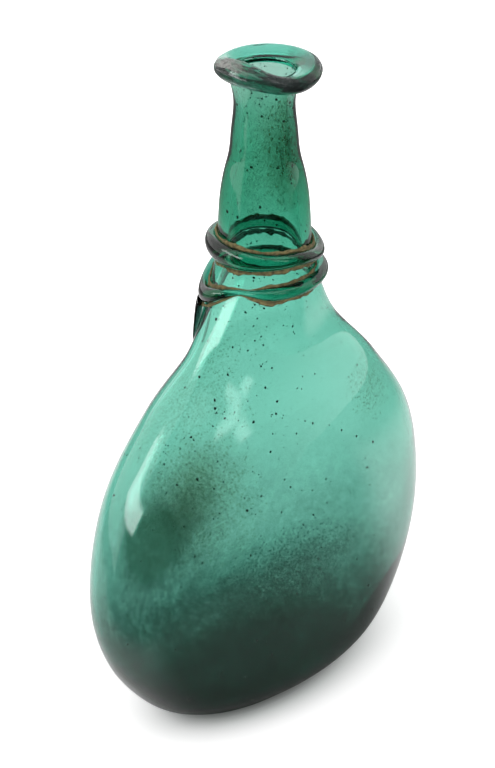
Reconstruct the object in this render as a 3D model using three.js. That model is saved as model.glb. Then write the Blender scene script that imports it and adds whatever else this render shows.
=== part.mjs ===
// A saddle flask of green glass: a bubble blown flat on two sides and drawn out into a tall neck, a thick
// rolled lip laid over the cut edge of the neck, two trails of glass wound round the root of the neck,
// the drop in which the lower trail ends, and the scar that the pontil iron left under the foot.
// Millimetres, +Z up. X runs along the wide side of the flask, Y through its thin side, and the origin is
// on the table, below the middle of the body.
import * as THREE from "three";

// The blown bubble.
const BODY_WIDTH = 151.4;
const BODY_DEPTH = 68.4;
const BODY_HEIGHT = 168; // table to the root of the neck
const FOOT_WIDTH = 71; // the worn oval that it stands on
const FOOT_DEPTH = 34;
const NECK_LENGTH = 65; // root of the neck to its cut edge
const NECK_ROOT_DIAMETER = 32.4;
const NECK_WAIST_DIAMETER = 20.2;
const NECK_EDGE_DIAMETER = 24.4;
const NECK_SHIFT = 2.8; // the neck stands this far to +X of the body's middle
const WALL = 2.3;
const FOOT_WALL = 6.5; // blown glass gathers at the bottom
const KICK_HEIGHT = 3.2; // hollow pushed up under the foot

// The rolled lip.
const LIP_FLARE = 1.7; // how far the mouth opens out from the bore below it
const LIP_OVERHANG = 5.4; // how far the roll stands out from the neck
const LIP_RISE = 3.3; // the crest above the cut edge of the neck
const LIP_HANG = 2.3; // the underside of the roll below that edge
const LIP_LEAN = 1.2; // how far the whole roll sits to one side
const LIP_PINCH = 3.6; // how far pincers pushed the mouth in at the front
const LIP_BEND = 3.1; // how far the pinched place stands up
const LIP_DROOP = 0.8; // how far the place beside it hangs down

// The wound trails and the drop.
const TRAIL_THICKNESS = 4.3;
const UPPER_TRAIL_SWELL = 3.2; // extra thickness where the upper trail was first laid
const LOWER_TRAIL_SWELL = 2.2; // extra thickness of the bead above the drop
const LOWER_TRAIL_THIN = 2.7; // thickness lost where the lower trail runs out
const UPPER_TRAIL_RISE = 4.3; // height above the root of the neck
const UPPER_TRAIL_DIP = 3; // how far it hangs down on one side
const LOWER_TRAIL_FALL = 6.6; // depth below the root of the neck
const BEAD_SAG = 5.8; // how far the bead has sunk below its trail
const BEAD_SLUMP = 0.8; // how much less it stands out than its trail
const DROP_LENGTH = 15.3;
const DROP_WIDTH = 6;
const DROP_THICKNESS = 2.4;

// The scar under the foot.
const SCAR_DIAMETER = 11.4;
const SCAR_WIDTH = 2.3;
const SCAR_THICKNESS = 1.1;

const SEAT_GAP = 0.3; // clearance between pieces of glass that lie on each other

// Places round the flask in degrees from +X, and how far each reaches to either side.
const BEAD = { at: 144, reach: 44 };
const SAG = { at: 144, reach: 58 };
const UPPER_SWELL = { at: 172, reach: 105 };
const RUN_OUT = { at: 201, reach: 34 };
const PINCH = { at: 184, reach: 84 };
const DROOP = { at: 264, reach: 60 };
const DIP = { at: 316, reach: 62 };
const LEAN_ANGLE = 314;

// The bubble's outline below its widest level. Each row holds a share of BODY_HEIGHT, then the shares of
// the way from the foot to the full width and to the full depth.
const BOWL_SHARES = [
  [0.024, 0.205, 0.235],
  [0.083, 0.526, 0.775],
  [0.19, 0.846, 0.96],
];
const WIDEST_SHARE = 0.33;
// The outline above that level: shares of BODY_HEIGHT, and of the way from the root of the neck to the
// full width and depth.
const SHOULDER_SHARES = [
  [0.536, 0.893, 0.98],
  [0.69, 0.592, 0.62],
  [0.815, 0.27, 0.06],
  [0.905, 0.112, 0.035],
];
// The neck: shares of NECK_LENGTH, and of the way from the waist of the neck to its root.
const NECK_SHARES = [
  [0.223, 0.86],
  [0.338, 0.76],
  [0.446, 0.565],
  [0.56, 0.27],
  [0.677, 0.15],
  [0.84, 0],
];
// The flare to the cut edge: shares of NECK_LENGTH, and of the way from the waist to the edge.
const FLARE_SHARES = [
  [0.93, 0.46],
  [0.975, 0.92],
  [1, 1],
];
const WALL_THIN_SHARE = 0.3; // share of BODY_HEIGHT above which the wall has its plain thickness
const BAND_SHARE = 0.62; // inner edge of the standing band, as a share of the foot
const KICK_SHARES = [0.3, 0.65, 1]; // rings of the hollow, as shares of the way to that edge
const FLOOR_SHARES = [0.75, 0.5, 0.25]; // rings of the floor inside, as shares of its size

// Section of the roll: shares of the way from the mouth to its outer side, and from its underside to its
// crest.
const LIP_SHARES = [
  [0, 0.6],
  [0.05, 0.82],
  [0.2, 0.96],
  [0.42, 1],
  [0.66, 0.95],
  [0.87, 0.8],
  [1, 0.52],
  [0.96, 0.27],
  [0.82, 0.08],
  [0.6, 0],
];
const UNDER_BEND_SHARE = 0.33; // the underside of the pinched place stands up by this share of its crest
const STAND_SHARE = 0.94; // how far a trail stands out from the glass, as a share of its thickness
const SEAT_SHARE = 0.42; // place of the middle of its section, as a share of how far it stands out
// The drop from the bead to its tip: shares of its length, width and thickness.
const DROP_SHARES = [
  [0, 0.6, 0.85],
  [0.2, 0.92, 1],
  [0.42, 1, 0.9],
  [0.66, 0.84, 0.68],
  [0.87, 0.5, 0.42],
  [1, 0.14, 0.16],
];
const SCAR_ROUGH_SHARE = 0.18; // how uneven the scar is

const AROUND = 56; // facets round the bubble
const OUTLINE_RINGS = 38;
const EVEN_SHARE = 0.6; // the rings keep even steps along the outline by this share, and else even rows
const TRAIL_AROUND = 56;
const TRAIL_SIDES = 12;
const LIP_AROUND = 56;
const DROP_RINGS = 10;
const DROP_SIDES = 14;
const SCAR_AROUND = 28;
const SCAR_SIDES = 8;

const TURN = 2 * Math.PI;
const rootRadius = NECK_ROOT_DIAMETER / 2;
const waistRadius = NECK_WAIST_DIAMETER / 2;
const edgeRadius = NECK_EDGE_DIAMETER / 2;
const edgeHeight = BODY_HEIGHT + NECK_LENGTH;
const widestHeight = BODY_HEIGHT * WIDEST_SHARE;

const mix = THREE.MathUtils.lerp;
const radians = THREE.MathUtils.degToRad;
const smooth = THREE.MathUtils.smoothstep;

// 1 at a place round the flask, falling to 0 at its reach.
function near(angle, place) {
  const off = THREE.MathUtils.euclideanModulo(angle - radians(place.at) + Math.PI, TURN) - Math.PI;
  return 1 - smooth(Math.abs(off), 0, radians(place.reach));
}

// Points taken once round, at even steps.
function ring(count, pointAt) {
  return Array.from({ length: count }, (_, step) => pointAt((step / count) * TURN));
}

// A closed surface through rings of points. Where two poles are given, each end closes on one of them.
// Otherwise the last ring meets the first, as on a wound trail.
function loft(rings, poles) {
  const sides = rings[0].length;
  const points = rings.flat();
  const faces = [];
  const spans = poles ? rings.length - 1 : rings.length;
  for (let row = 0; row < spans; row++) {
    const here = row * sides;
    const next = ((row + 1) % rings.length) * sides;
    for (let side = 0; side < sides; side++) {
      const after = (side + 1) % sides;
      faces.push(here + side, here + after, next + after);
      faces.push(here + side, next + after, next + side);
    }
  }
  if (poles) {
    const first = points.push(poles[0]) - 1;
    const last = points.push(poles[1]) - 1;
    const end = (rings.length - 1) * sides;
    for (let side = 0; side < sides; side++) {
      const after = (side + 1) % sides;
      faces.push(first, after, side);
      faces.push(last, end + side, end + after);
    }
  }
  const geometry = new THREE.BufferGeometry().setFromPoints(points);
  geometry.setIndex(faces);
  geometry.computeVertexNormals();
  return geometry;
}

// The outline of the bubble as a smooth curve: x is half the width, y half the depth and z the height.
function outlineCurve() {
  const foot = new THREE.Vector3(FOOT_WIDTH / 2, FOOT_DEPTH / 2, 0);
  const widest = new THREE.Vector3(BODY_WIDTH / 2, BODY_DEPTH / 2, widestHeight);
  const root = new THREE.Vector3(rootRadius, rootRadius, BODY_HEIGHT);
  const bodyStation = (from, [height, wide, deep]) =>
    new THREE.Vector3(mix(from.x, widest.x, wide), mix(from.y, widest.y, deep), BODY_HEIGHT * height);
  const neckStation = (fullRadius, [height, share]) => {
    const radius = mix(waistRadius, fullRadius, share);
    return new THREE.Vector3(radius, radius, BODY_HEIGHT + NECK_LENGTH * height);
  };
  return new THREE.CatmullRomCurve3([
    foot,
    ...BOWL_SHARES.map((row) => bodyStation(foot, row)),
    widest,
    ...SHOULDER_SHARES.map((row) => bodyStation(root, row)),
    root,
    ...NECK_SHARES.map((row) => neckStation(rootRadius, row)),
    ...FLARE_SHARES.map((row) => neckStation(edgeRadius, row)),
  ]);
}

const outline = outlineCurve();

// How far the middle of the flask has moved to +X at a height.
function shiftAt(height) {
  return NECK_SHIFT * smooth(height, widestHeight, BODY_HEIGHT);
}

// A point at a distance from the flask's upright middle line, in a direction and at a height.
function polar(radius, angle, height) {
  return new THREE.Vector3(shiftAt(height) + radius * Math.cos(angle), radius * Math.sin(angle), height);
}

// A point of the outer surface, at a share of the outline's length and an angle round the flask.
function outerPoint(share, angle) {
  const { x: wide, y: deep, z: height } = outline.getPoint(share);
  return new THREE.Vector3(shiftAt(height) + wide * Math.cos(angle), deep * Math.sin(angle), height);
}

// The same point moved inwards by the thickness of the wall.
function innerPoint(share, angle) {
  const step = 1e-3;
  const below = Math.max(share - step, 0);
  const above = Math.min(share + step, 1);
  const along = outerPoint(above, angle).sub(outerPoint(below, angle));
  const round = outerPoint(share, angle + step).sub(outerPoint(share, angle - step));
  const inwards = along.cross(round).normalize();
  const here = outerPoint(share, angle);
  const wall = mix(FOOT_WALL, WALL, smooth(here.z, 0, BODY_HEIGHT * WALL_THIN_SHARE));
  return here.addScaledVector(inwards, wall);
}

// Distance from the middle line to the outer surface, in a direction and at a height.
function radiusAt(angle, height) {
  let low = 0;
  let high = 1;
  for (let pass = 0; pass < 30; pass++) {
    const middle = (low + high) / 2;
    if (outline.getPoint(middle).z < height) low = middle;
    else high = middle;
  }
  const { x: wide, y: deep } = outline.getPoint(low);
  return 1 / Math.hypot(Math.cos(angle) / wide, Math.sin(angle) / deep);
}

// Body and neck are one bubble of glass, open at the cut edge of the neck. The rings run from the hollow
// under the foot, up the outside, over the edge, down the inside and in over the floor.
function blownBubble() {
  const footRing = (share, height) =>
    ring(AROUND, (angle) => {
      const wide = (FOOT_WIDTH / 2) * share;
      const deep = (FOOT_DEPTH / 2) * share;
      return new THREE.Vector3(wide * Math.cos(angle), deep * Math.sin(angle), height);
    });
  const rings = KICK_SHARES.map((share) => footRing(share * BAND_SHARE, KICK_HEIGHT * (1 - share * share)));
  const shareOf = (row) => mix(row / OUTLINE_RINGS, outline.getUtoTmapping(row / OUTLINE_RINGS), EVEN_SHARE);
  for (let row = 0; row <= OUTLINE_RINGS; row++) {
    rings.push(ring(AROUND, (angle) => outerPoint(shareOf(row), angle)));
  }
  for (let row = OUTLINE_RINGS; row > 0; row--) {
    rings.push(ring(AROUND, (angle) => innerPoint(shareOf(row), angle)));
  }
  const floorHeight = KICK_HEIGHT + FOOT_WALL;
  const corner = rings.at(-1);
  for (const share of FLOOR_SHARES) {
    const level = (point) => mix(floorHeight, point.z, share * share);
    rings.push(corner.map((point) => new THREE.Vector3(point.x * share, point.y * share, level(point))));
  }
  return loft(rings, [new THREE.Vector3(0, 0, KICK_HEIGHT), new THREE.Vector3(0, 0, floorHeight)]);
}

// Section of the lip in one direction. It starts on the cut edge of the neck, goes up the mouth, over the
// crest and round the roll, and comes back up along the outside of the neck.
function lipSection(angle) {
  const pinched = near(angle, PINCH);
  const drooped = near(angle, DROOP);
  const bend = LIP_BEND * pinched;
  const droop = LIP_DROOP * drooped;
  const lean = LIP_LEAN * Math.cos(angle - radians(LEAN_ANGLE));
  const bore = edgeRadius - WALL;
  const mouth = bore + LIP_FLARE * (1 + drooped) - LIP_PINCH * pinched + lean;
  const outer = edgeRadius + LIP_OVERHANG + lean;
  const under = edgeHeight - LIP_HANG + bend * UNDER_BEND_SHARE - droop;
  const crest = edgeHeight + LIP_RISE + bend - droop;
  const section = [polar(bore, angle, edgeHeight + SEAT_GAP)];
  for (const [across, up] of LIP_SHARES) {
    section.push(polar(mix(mouth, outer, across), angle, mix(under, crest, up)));
  }
  for (const height of [under, (under + edgeHeight) / 2, edgeHeight]) {
    section.push(polar(radiusAt(angle, height) + SEAT_GAP, angle, height));
  }
  section.push(polar(edgeRadius + SEAT_GAP, angle, edgeHeight + SEAT_GAP));
  return section;
}

// Section of a trail in one direction: its height, where its middle lies, and half its size each way.
function trailSection(angle, height, thickness, standing) {
  const stand = standing * STAND_SHARE;
  const middle = radiusAt(angle, height) + SEAT_GAP + stand * SEAT_SHARE;
  return { height, middle, tall: thickness / 2, deep: stand * (1 - SEAT_SHARE) };
}

// A trail wound once round the neck, oval in section and flat where it lies on the bubble.
function woundTrail(sectionAt) {
  const sections = ring(TRAIL_AROUND, (angle) => {
    const { height, middle, tall, deep } = sectionAt(angle);
    return ring(TRAIL_SIDES, (round) => {
      const level = height - tall * Math.sin(round);
      const seat = radiusAt(angle, level) + SEAT_GAP;
      return polar(Math.max(middle + deep * Math.cos(round), seat), angle, level);
    });
  });
  return loft(sections);
}

function upperTrailAt(angle) {
  const height = BODY_HEIGHT + UPPER_TRAIL_RISE - UPPER_TRAIL_DIP * near(angle, DIP);
  const thickness = TRAIL_THICKNESS + UPPER_TRAIL_SWELL * near(angle, UPPER_SWELL);
  return trailSection(angle, height, thickness, TRAIL_THICKNESS);
}

function lowerTrailAt(angle) {
  const height = BODY_HEIGHT - LOWER_TRAIL_FALL - BEAD_SAG * near(angle, SAG);
  const plain = TRAIL_THICKNESS - LOWER_TRAIL_THIN * near(angle, RUN_OUT);
  const bead = near(angle, BEAD);
  return trailSection(angle, height, plain + LOWER_TRAIL_SWELL * bead, plain - BEAD_SLUMP * bead);
}

// Height of the lower trail's underside at a distance from the middle line.
function underTrail(angle, radius) {
  const { height, middle, tall, deep } = lowerTrailAt(angle);
  const off = Math.min(Math.abs(radius - middle) / deep, 1);
  return height - tall * Math.sqrt(1 - off * off);
}

// The drop hangs from the bead along the shoulder, drawn out to a tip.
function trailDrop() {
  const profile = new THREE.CatmullRomCurve3(DROP_SHARES.map((row) => new THREE.Vector3(...row)));
  const middle = radians(BEAD.at);
  const { height: beadHeight, tall } = lowerTrailAt(middle);
  const tip = beadHeight - tall - DROP_LENGTH;
  const pointAt = (share, sideways, outwards) => {
    const { x: along, y: wide, z: thick } = profile.getPoint(share);
    const plain = mix(beadHeight - tall, tip, along);
    const across = (DROP_WIDTH / 2) * wide * sideways;
    const angle = middle + across / radiusAt(middle, plain);
    const stand = ((DROP_THICKNESS * thick) / 2) * (1 + outwards);
    const radius = radiusAt(angle, plain) + SEAT_GAP + stand;
    const height = mix(underTrail(angle, radius) - SEAT_GAP, tip, along);
    return polar(Math.max(radius, radiusAt(angle, height) + SEAT_GAP), angle, height);
  };
  const rings = [];
  for (let row = DROP_RINGS; row >= 0; row--) {
    rings.push(ring(DROP_SIDES, (round) => pointAt(row / DROP_RINGS, Math.sin(round), Math.cos(round))));
  }
  return loft(rings, [pointAt(1, 0, 0), pointAt(0, 0, 0)]);
}

// Height of the hollow under the foot, at a distance from its middle.
function kickAt(radius, angle) {
  const wide = (FOOT_WIDTH / 2) * BAND_SHARE;
  const deep = (FOOT_DEPTH / 2) * BAND_SHARE;
  const share = Math.min(radius * Math.hypot(Math.cos(angle) / wide, Math.sin(angle) / deep), 1);
  return KICK_HEIGHT * (1 - share * share);
}

// A rough ring of glass, left in that hollow when the pontil iron was cracked off.
function pontilScar() {
  const sections = ring(SCAR_AROUND, (angle) => {
    const rough = 1 + SCAR_ROUGH_SHARE * Math.sin(5 * angle) * Math.cos(2 * angle);
    const depth = (SCAR_THICKNESS / 2) * rough;
    return ring(SCAR_SIDES, (round) => {
      const radius = SCAR_DIAMETER / 2 + (SCAR_WIDTH / 2) * rough * Math.cos(round);
      const height = kickAt(radius, angle) - SEAT_GAP - depth * (1 + Math.sin(round));
      return new THREE.Vector3(radius * Math.cos(angle), radius * Math.sin(angle), height);
    });
  });
  return loft(sections);
}

function glass(name, geometry, colour) {
  const material = new THREE.MeshStandardMaterial({ color: colour, roughness: 0.06, metalness: 0 });
  const mesh = new THREE.Mesh(geometry, material);
  mesh.name = name;
  return mesh;
}

const flask = new THREE.Group();
flask.add(glass("blown_bubble", blownBubble(), 0x5fb9a0));
flask.add(glass("rolled_lip", loft(ring(LIP_AROUND, lipSection)), 0x2f6f66));
flask.add(glass("upper_trail", woundTrail(upperTrailAt), 0x2f7566));
flask.add(glass("lower_trail", woundTrail(lowerTrailAt), 0x3a8573));
flask.add(glass("trail_drop", trailDrop(), 0x2b3a34));
flask.add(glass("pontil_scar", pontilScar(), 0x4a9a86));

export default flask;
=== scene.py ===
"""The looks of a free-blown saddle flask of green glass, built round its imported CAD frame.

The flask is one bubble of glass blown flat on two sides, with a rolled lip, two trails wound round the root
of the neck, the drop that hangs from the lower trail, and the scar of the pontil iron under the foot. Soil
from the ground still sits along the trails, and a dried film clings to the inside. Lengths are metres in
the CAD frame: +Z up, X along the wide side, and the origin on the table below the middle of the body.
"""
import logging
import math
import random
from bisect import bisect_left
from dataclasses import dataclass
from enum import Enum
from typing import Callable

import bpy
from mathutils import Matrix, Vector, noise


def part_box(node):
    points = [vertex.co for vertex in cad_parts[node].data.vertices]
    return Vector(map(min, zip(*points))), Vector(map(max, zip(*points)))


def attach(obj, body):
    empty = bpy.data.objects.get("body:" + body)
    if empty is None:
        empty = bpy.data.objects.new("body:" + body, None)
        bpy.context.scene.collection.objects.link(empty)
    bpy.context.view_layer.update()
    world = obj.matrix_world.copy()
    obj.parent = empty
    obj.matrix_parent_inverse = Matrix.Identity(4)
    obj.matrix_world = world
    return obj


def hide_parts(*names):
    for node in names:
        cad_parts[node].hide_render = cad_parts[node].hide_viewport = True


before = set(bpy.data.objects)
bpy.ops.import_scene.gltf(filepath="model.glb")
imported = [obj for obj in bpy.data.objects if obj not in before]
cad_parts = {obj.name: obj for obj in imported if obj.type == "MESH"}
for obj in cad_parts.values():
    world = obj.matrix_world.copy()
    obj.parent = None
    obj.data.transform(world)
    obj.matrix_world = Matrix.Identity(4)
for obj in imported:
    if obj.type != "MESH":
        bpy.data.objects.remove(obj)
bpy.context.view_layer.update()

LOG = logging.getLogger("saddle_flask")
MM = 0.001
TURN = 2 * math.pi
BODY = "root"
SEAT_GAP = 0.06 * MM  # clearance between pieces of glass that lie on each other
SEAT_REACH = 0.15 * MM  # faces this much farther apart than the gap still count as fused
SEAM = 0.01 * MM  # vertices nearer than this are merged
WHITE = (1, 1, 1, 1)


class Slot(Enum):
    """The record's material slots."""

    BUBBLE = "bubble_glass"
    LIP = "lip_glass"
    TRAIL = "trail_glass"
    DARK = "dark_glass"


def mix(low: float, high: float, share: float) -> float:
    """The value at a share of the way from low to high."""
    return low + (high - low) * share


def smoothstep(value: float, low: float, high: float) -> float:
    """0 below low, 1 above high, and a smooth rise between them."""
    share = min(max((value - low) / (high - low), 0.0), 1.0)
    return share * share * (3 - 2 * share)


def running_lengths(points: list[Vector]) -> list[float]:
    """The length of a line of points up to each of them.

    Args:
        points: The points, in order.

    Returns:
        The lengths, of which the first is 0.
    """
    lengths = [0.0]
    for a, b in zip(points, points[1:]):
        lengths.append(lengths[-1] + (b - a).length)
    return lengths


def strip_shares(around: float) -> tuple[float, float]:
    """How far across a thin strip and how far up through it, from 0 to 1, an angle round its section is."""
    return (1 - math.cos(around)) / 2, (1 + math.sin(around)) / 2


@dataclass(frozen=True)
class Place:
    """A place round the flask, in degrees from +X, and how far it reaches to either side."""

    at: float
    reach: float

    def near(self, angle: float) -> float:
        """1 at the place, falling to 0 at its reach.

        Args:
            angle: A direction round the flask, in radians.

        Returns:
            How near that direction is to the place.
        """
        off = (angle - math.radians(self.at) + math.pi) % TURN - math.pi
        return 1 - smoothstep(abs(off), 0, math.radians(self.reach))


def wander(angle: float, seed: float, waves: int) -> float:
    """An uneven value from about -1 to 1 that closes on itself after one turn.

    Args:
        angle: A direction round the flask, in radians.
        seed: Picks one of many such lines.
        waves: Roughly how many swells there are in one turn.

    Returns:
        The value in that direction.
    """
    radius = waves / TURN
    return 2 * noise.noise(Vector((radius * math.cos(angle), radius * math.sin(angle), seed)))


class Curve:
    """A smooth centripetal curve through stations, as the CAD outline is."""

    def __init__(self, stations: list[Vector]) -> None:
        """Keeps the stations.

        Args:
            stations: The points that the curve passes, in order.
        """
        self.stations = stations

    def point(self, share: float) -> Vector:
        """A point of the curve.

        Args:
            share: Share of the way, counted in stations, from 0 to 1.

        Returns:
            The point there.
        """
        last = len(self.stations) - 1
        row = min(int(share * last), last - 1)
        weight = share * last - row
        first, second = self.stations[row], self.stations[row + 1]
        before = self.stations[row - 1] if row else first * 2 - second
        after = self.stations[row + 2] if row + 2 <= last else second * 2 - first
        pairs = ((before, first), (first, second), (second, after))
        steps = [math.sqrt((b - a).length) for a, b in pairs]
        leave = (first - before) / steps[0] - (second - before) / (steps[0] + steps[1])
        leave = (leave + (second - first) / steps[1]) * steps[1]
        arrive = (second - first) / steps[1] - (after - first) / (steps[1] + steps[2])
        arrive = (arrive + (after - second) / steps[2]) * steps[1]
        square = (second - first) * 3 - leave * 2 - arrive
        cube = (first - second) * 2 + leave + arrive
        return first + leave * weight + square * weight**2 + cube * weight**3

    def even_shares(self, count: int) -> list[float]:
        """Shares at even steps of the curve's length.

        Args:
            count: How many steps there are.

        Returns:
            The shares, from 0 to 1.
        """
        fine = 40 * count  # short straight steps stand in for the curve
        lengths = running_lengths([self.point(step / fine) for step in range(fine + 1)])
        shares = []
        at = 0
        for step in range(count + 1):
            goal = lengths[-1] * step / count
            while at < fine - 1 and lengths[at + 1] < goal:
                at += 1
            rest = (goal - lengths[at]) / (lengths[at + 1] - lengths[at])
            shares.append((at + rest) / fine)
        return shares


@dataclass(frozen=True)
class Ring:
    """One level oval ring of a tube: half its width, half its depth, its middle in X and its height."""

    wide: float
    deep: float
    middle: float
    height: float


class Outline:
    """The outer shape of the bubble, read by every piece that lies on it.

    The rows of shares are stations of the curve. Those of the bowl and the shoulder hold the height, as a
    share of the neck root's height, and how far the half width and the half depth are on their way to the
    widest. Those of the neck and the flare hold the share of the neck's length, and how far the radius is
    on its way from the waist to the root or to the edge.
    """

    foot_width: float = 71 * MM
    foot_depth: float = 34 * MM
    root_height: float = 168 * MM
    neck_length: float = 65 * MM
    root_radius: float = 16.2 * MM
    waist_radius: float = 10.1 * MM
    edge_radius: float = 12.2 * MM
    neck_shift: float = 2.8 * MM
    widest_share: float = 0.33
    bowl_shares = ((0.024, 0.205, 0.235), (0.083, 0.526, 0.775), (0.19, 0.846, 0.96))
    shoulder_shares = (
        (0.536, 0.893, 0.98), (0.69, 0.592, 0.62), (0.815, 0.27, 0.06), (0.905, 0.112, 0.035),
    )
    neck_shares = ((0.223, 0.86), (0.338, 0.76), (0.446, 0.565), (0.56, 0.27), (0.677, 0.15), (0.84, 0))
    flare_shares = ((0.93, 0.46), (0.975, 0.92), (1, 1))
    inside_box_share: float = 0.9985  # the finer surface bulges a little past the CAD facets' corners
    fit_steps: int = 400
    table_steps: int = 6000

    def __init__(self) -> None:
        """Fits the outline to the CAD bubble's box."""
        low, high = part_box("blown_bubble")
        self.edge_height = self.root_height + self.neck_length
        self.widest_height = self.root_height * self.widest_share
        half = Vector(((high.x - low.x) / 2, high.y, 0)) * self.inside_box_share
        self.curve = self._through(half.x, half.y)
        reach = self._points(self.fit_steps)
        wide = half.x * half.x / max(point.x for point in reach)
        deep = half.y * half.y / max(point.y for point in reach)
        self.curve = self._through(wide, deep)
        self.table = self._points(self.table_steps)

    def _points(self, steps: int) -> list[Vector]:
        """The curve's points at that many steps."""
        return [self.curve.point(step / steps) for step in range(steps + 1)]

    def _through(self, wide: float, deep: float) -> Curve:
        """The curve for one half width and half depth at the widest level.

        Args:
            wide: Half the width there.
            deep: Half the depth there.

        Returns:
            The curve.
        """
        foot = Vector((self.foot_width / 2, self.foot_depth / 2, 0))
        widest = Vector((wide, deep, self.widest_height))
        root = Vector((self.root_radius, self.root_radius, self.root_height))
        stations = [foot]
        for start, shares in ((foot, self.bowl_shares), (root, self.shoulder_shares)):
            if start is root:
                stations.append(widest)
            for height, across, through in shares:
                x = mix(start.x, widest.x, across)
                y = mix(start.y, widest.y, through)
                stations.append(Vector((x, y, self.root_height * height)))
        stations.append(root)
        for full, shares in ((self.root_radius, self.neck_shares), (self.edge_radius, self.flare_shares)):
            for height, share in shares:
                radius = mix(self.waist_radius, full, share)
                stations.append(Vector((radius, radius, self.root_height + self.neck_length * height)))
        return Curve(stations)

    def shift(self, height: float) -> float:
        """How far the middle of the flask has moved to +X at a height."""
        return self.neck_shift * smoothstep(height, self.widest_height, self.root_height)

    def half_sizes(self, height: float) -> tuple[float, float]:
        """Half the width and half the depth of the outer surface at a height.

        Args:
            height: The height above the table.

        Returns:
            Both, in that order.
        """
        row = bisect_left(self.table, height, key=lambda point: point.z)
        row = min(max(row, 1), len(self.table) - 1)
        below, above = self.table[row - 1], self.table[row]
        share = min(max((height - below.z) / (above.z - below.z), 0), 1)
        return mix(below.x, above.x, share), mix(below.y, above.y, share)

    def radius(self, angle: float, height: float) -> float:
        """Distance from the middle line to the outer surface, in a direction and at a height."""
        wide, deep = self.half_sizes(height)
        return 1 / math.hypot(math.cos(angle) / wide, math.sin(angle) / deep)

    def polar(self, radius: float, angle: float, height: float) -> Vector:
        """A point at a distance from the flask's upright middle line."""
        x = self.shift(height) + radius * math.cos(angle)
        return Vector((x, radius * math.sin(angle), height))

    def axis(self, height: float) -> Vector:
        """The middle of the neck, at a height."""
        return Vector((self.neck_shift, 0, height))

    def unroll(self, place: Vector) -> tuple[float, float]:
        """A point's distance from the upright middle line, and its direction."""
        x = place.x - self.shift(place.z)
        return math.hypot(x, place.y), math.atan2(place.y, x)


def deselect() -> None:
    """Leaves edit mode and deselects every object."""
    if bpy.context.object and bpy.context.object.mode != "OBJECT":
        bpy.ops.object.mode_set(mode="OBJECT")
    bpy.ops.object.select_all(action="DESELECT")


def name_active(name: str) -> bpy.types.Object:
    """Names the object just added and its mesh.

    Args:
        name: The piece's name.

    Returns:
        The object.
    """
    piece = bpy.context.object
    piece.name = name
    piece.data.name = name
    return piece


def pick_only(piece: bpy.types.Object) -> None:
    """Selects one piece and nothing else, and makes it active.

    Args:
        piece: The piece.
    """
    deselect()
    piece.select_set(True)
    bpy.context.view_layer.objects.active = piece


def smooth_faces(piece: bpy.types.Object) -> None:
    """Shades a piece smooth all over."""
    pick_only(piece)
    bpy.ops.object.shade_smooth()


def refine(piece: bpy.types.Object) -> None:
    """Subdivides a piece once into a finer, rounder surface and shades it smooth.

    Args:
        piece: The piece.
    """
    pick_only(piece)
    modifier = piece.modifiers.new("subdivision", "SUBSURF")
    modifier.levels = 1
    modifier.render_levels = 1
    bpy.ops.object.modifier_apply(modifier=modifier.name)
    smooth_faces(piece)


def face_outwards(piece: bpy.types.Object) -> None:
    """Turns the faces of a closed piece outwards.

    Args:
        piece: The piece.
    """
    pick_only(piece)
    bpy.ops.object.mode_set(mode="EDIT")
    bpy.ops.mesh.select_all(action="SELECT")
    bpy.ops.mesh.normals_make_consistent(inside=False)
    bpy.ops.object.mode_set(mode="OBJECT")


def store(piece: bpy.types.Object, name: str, value_of: Callable[[bpy.types.MeshVertex], float]) -> None:
    """Stores a number for each vertex, for the material to read.

    Args:
        piece: The piece.
        name: The attribute's name.
        value_of: Gives the number of a vertex.
    """
    values = [value_of(vertex) for vertex in piece.data.vertices]
    attribute = piece.data.attributes.new(name, "FLOAT", "POINT")
    attribute.data.foreach_set("value", values)


class DrawnTube:
    """A tube modelled ring by ring in edit mode: extrude the open edge, move it on and scale it."""

    def __init__(self, name: str, sides: int, first: Ring) -> None:
        """Starts with a closed disc of the first ring's size.

        Args:
            name: The piece's name.
            sides: Vertices in each ring.
            first: The first ring.
        """
        deselect()
        bpy.ops.mesh.primitive_circle_add(vertices=sides, radius=1, fill_type="TRIFAN")
        self.piece = name_active(name)
        bpy.ops.object.mode_set(mode="EDIT")
        bpy.ops.mesh.select_all(action="SELECT")
        bpy.ops.transform.resize(value=(first.wide, first.deep, 1), center_override=(0, 0, 0))
        bpy.ops.transform.translate(value=(first.middle, 0, first.height))
        bpy.ops.mesh.region_to_loop()
        self.last = first

    def draw(self, ring: Ring) -> None:
        """Extrudes the open edge to the next ring.

        Args:
            ring: The ring to reach.
        """
        last = self.last
        move = (ring.middle - last.middle, 0, ring.height - last.height)
        bpy.ops.mesh.extrude_edges_move(TRANSFORM_OT_translate={"value": move})
        scale = (ring.wide / last.wide, ring.deep / last.deep, 1)
        bpy.ops.transform.resize(value=scale, center_override=(ring.middle, 0, ring.height))
        self.last = ring

    def close(self, height: float) -> bpy.types.Object:
        """Closes the open edge on one point.

        Args:
            height: The height of that point.

        Returns:
            The finished tube, in object mode, with its faces outwards.
        """
        rise = (0, 0, height - self.last.height)
        bpy.ops.mesh.extrude_edges_move(TRANSFORM_OT_translate={"value": rise})
        bpy.ops.mesh.merge(type="CENTER")
        bpy.ops.object.mode_set(mode="OBJECT")
        face_outwards(self.piece)
        return self.piece


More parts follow.
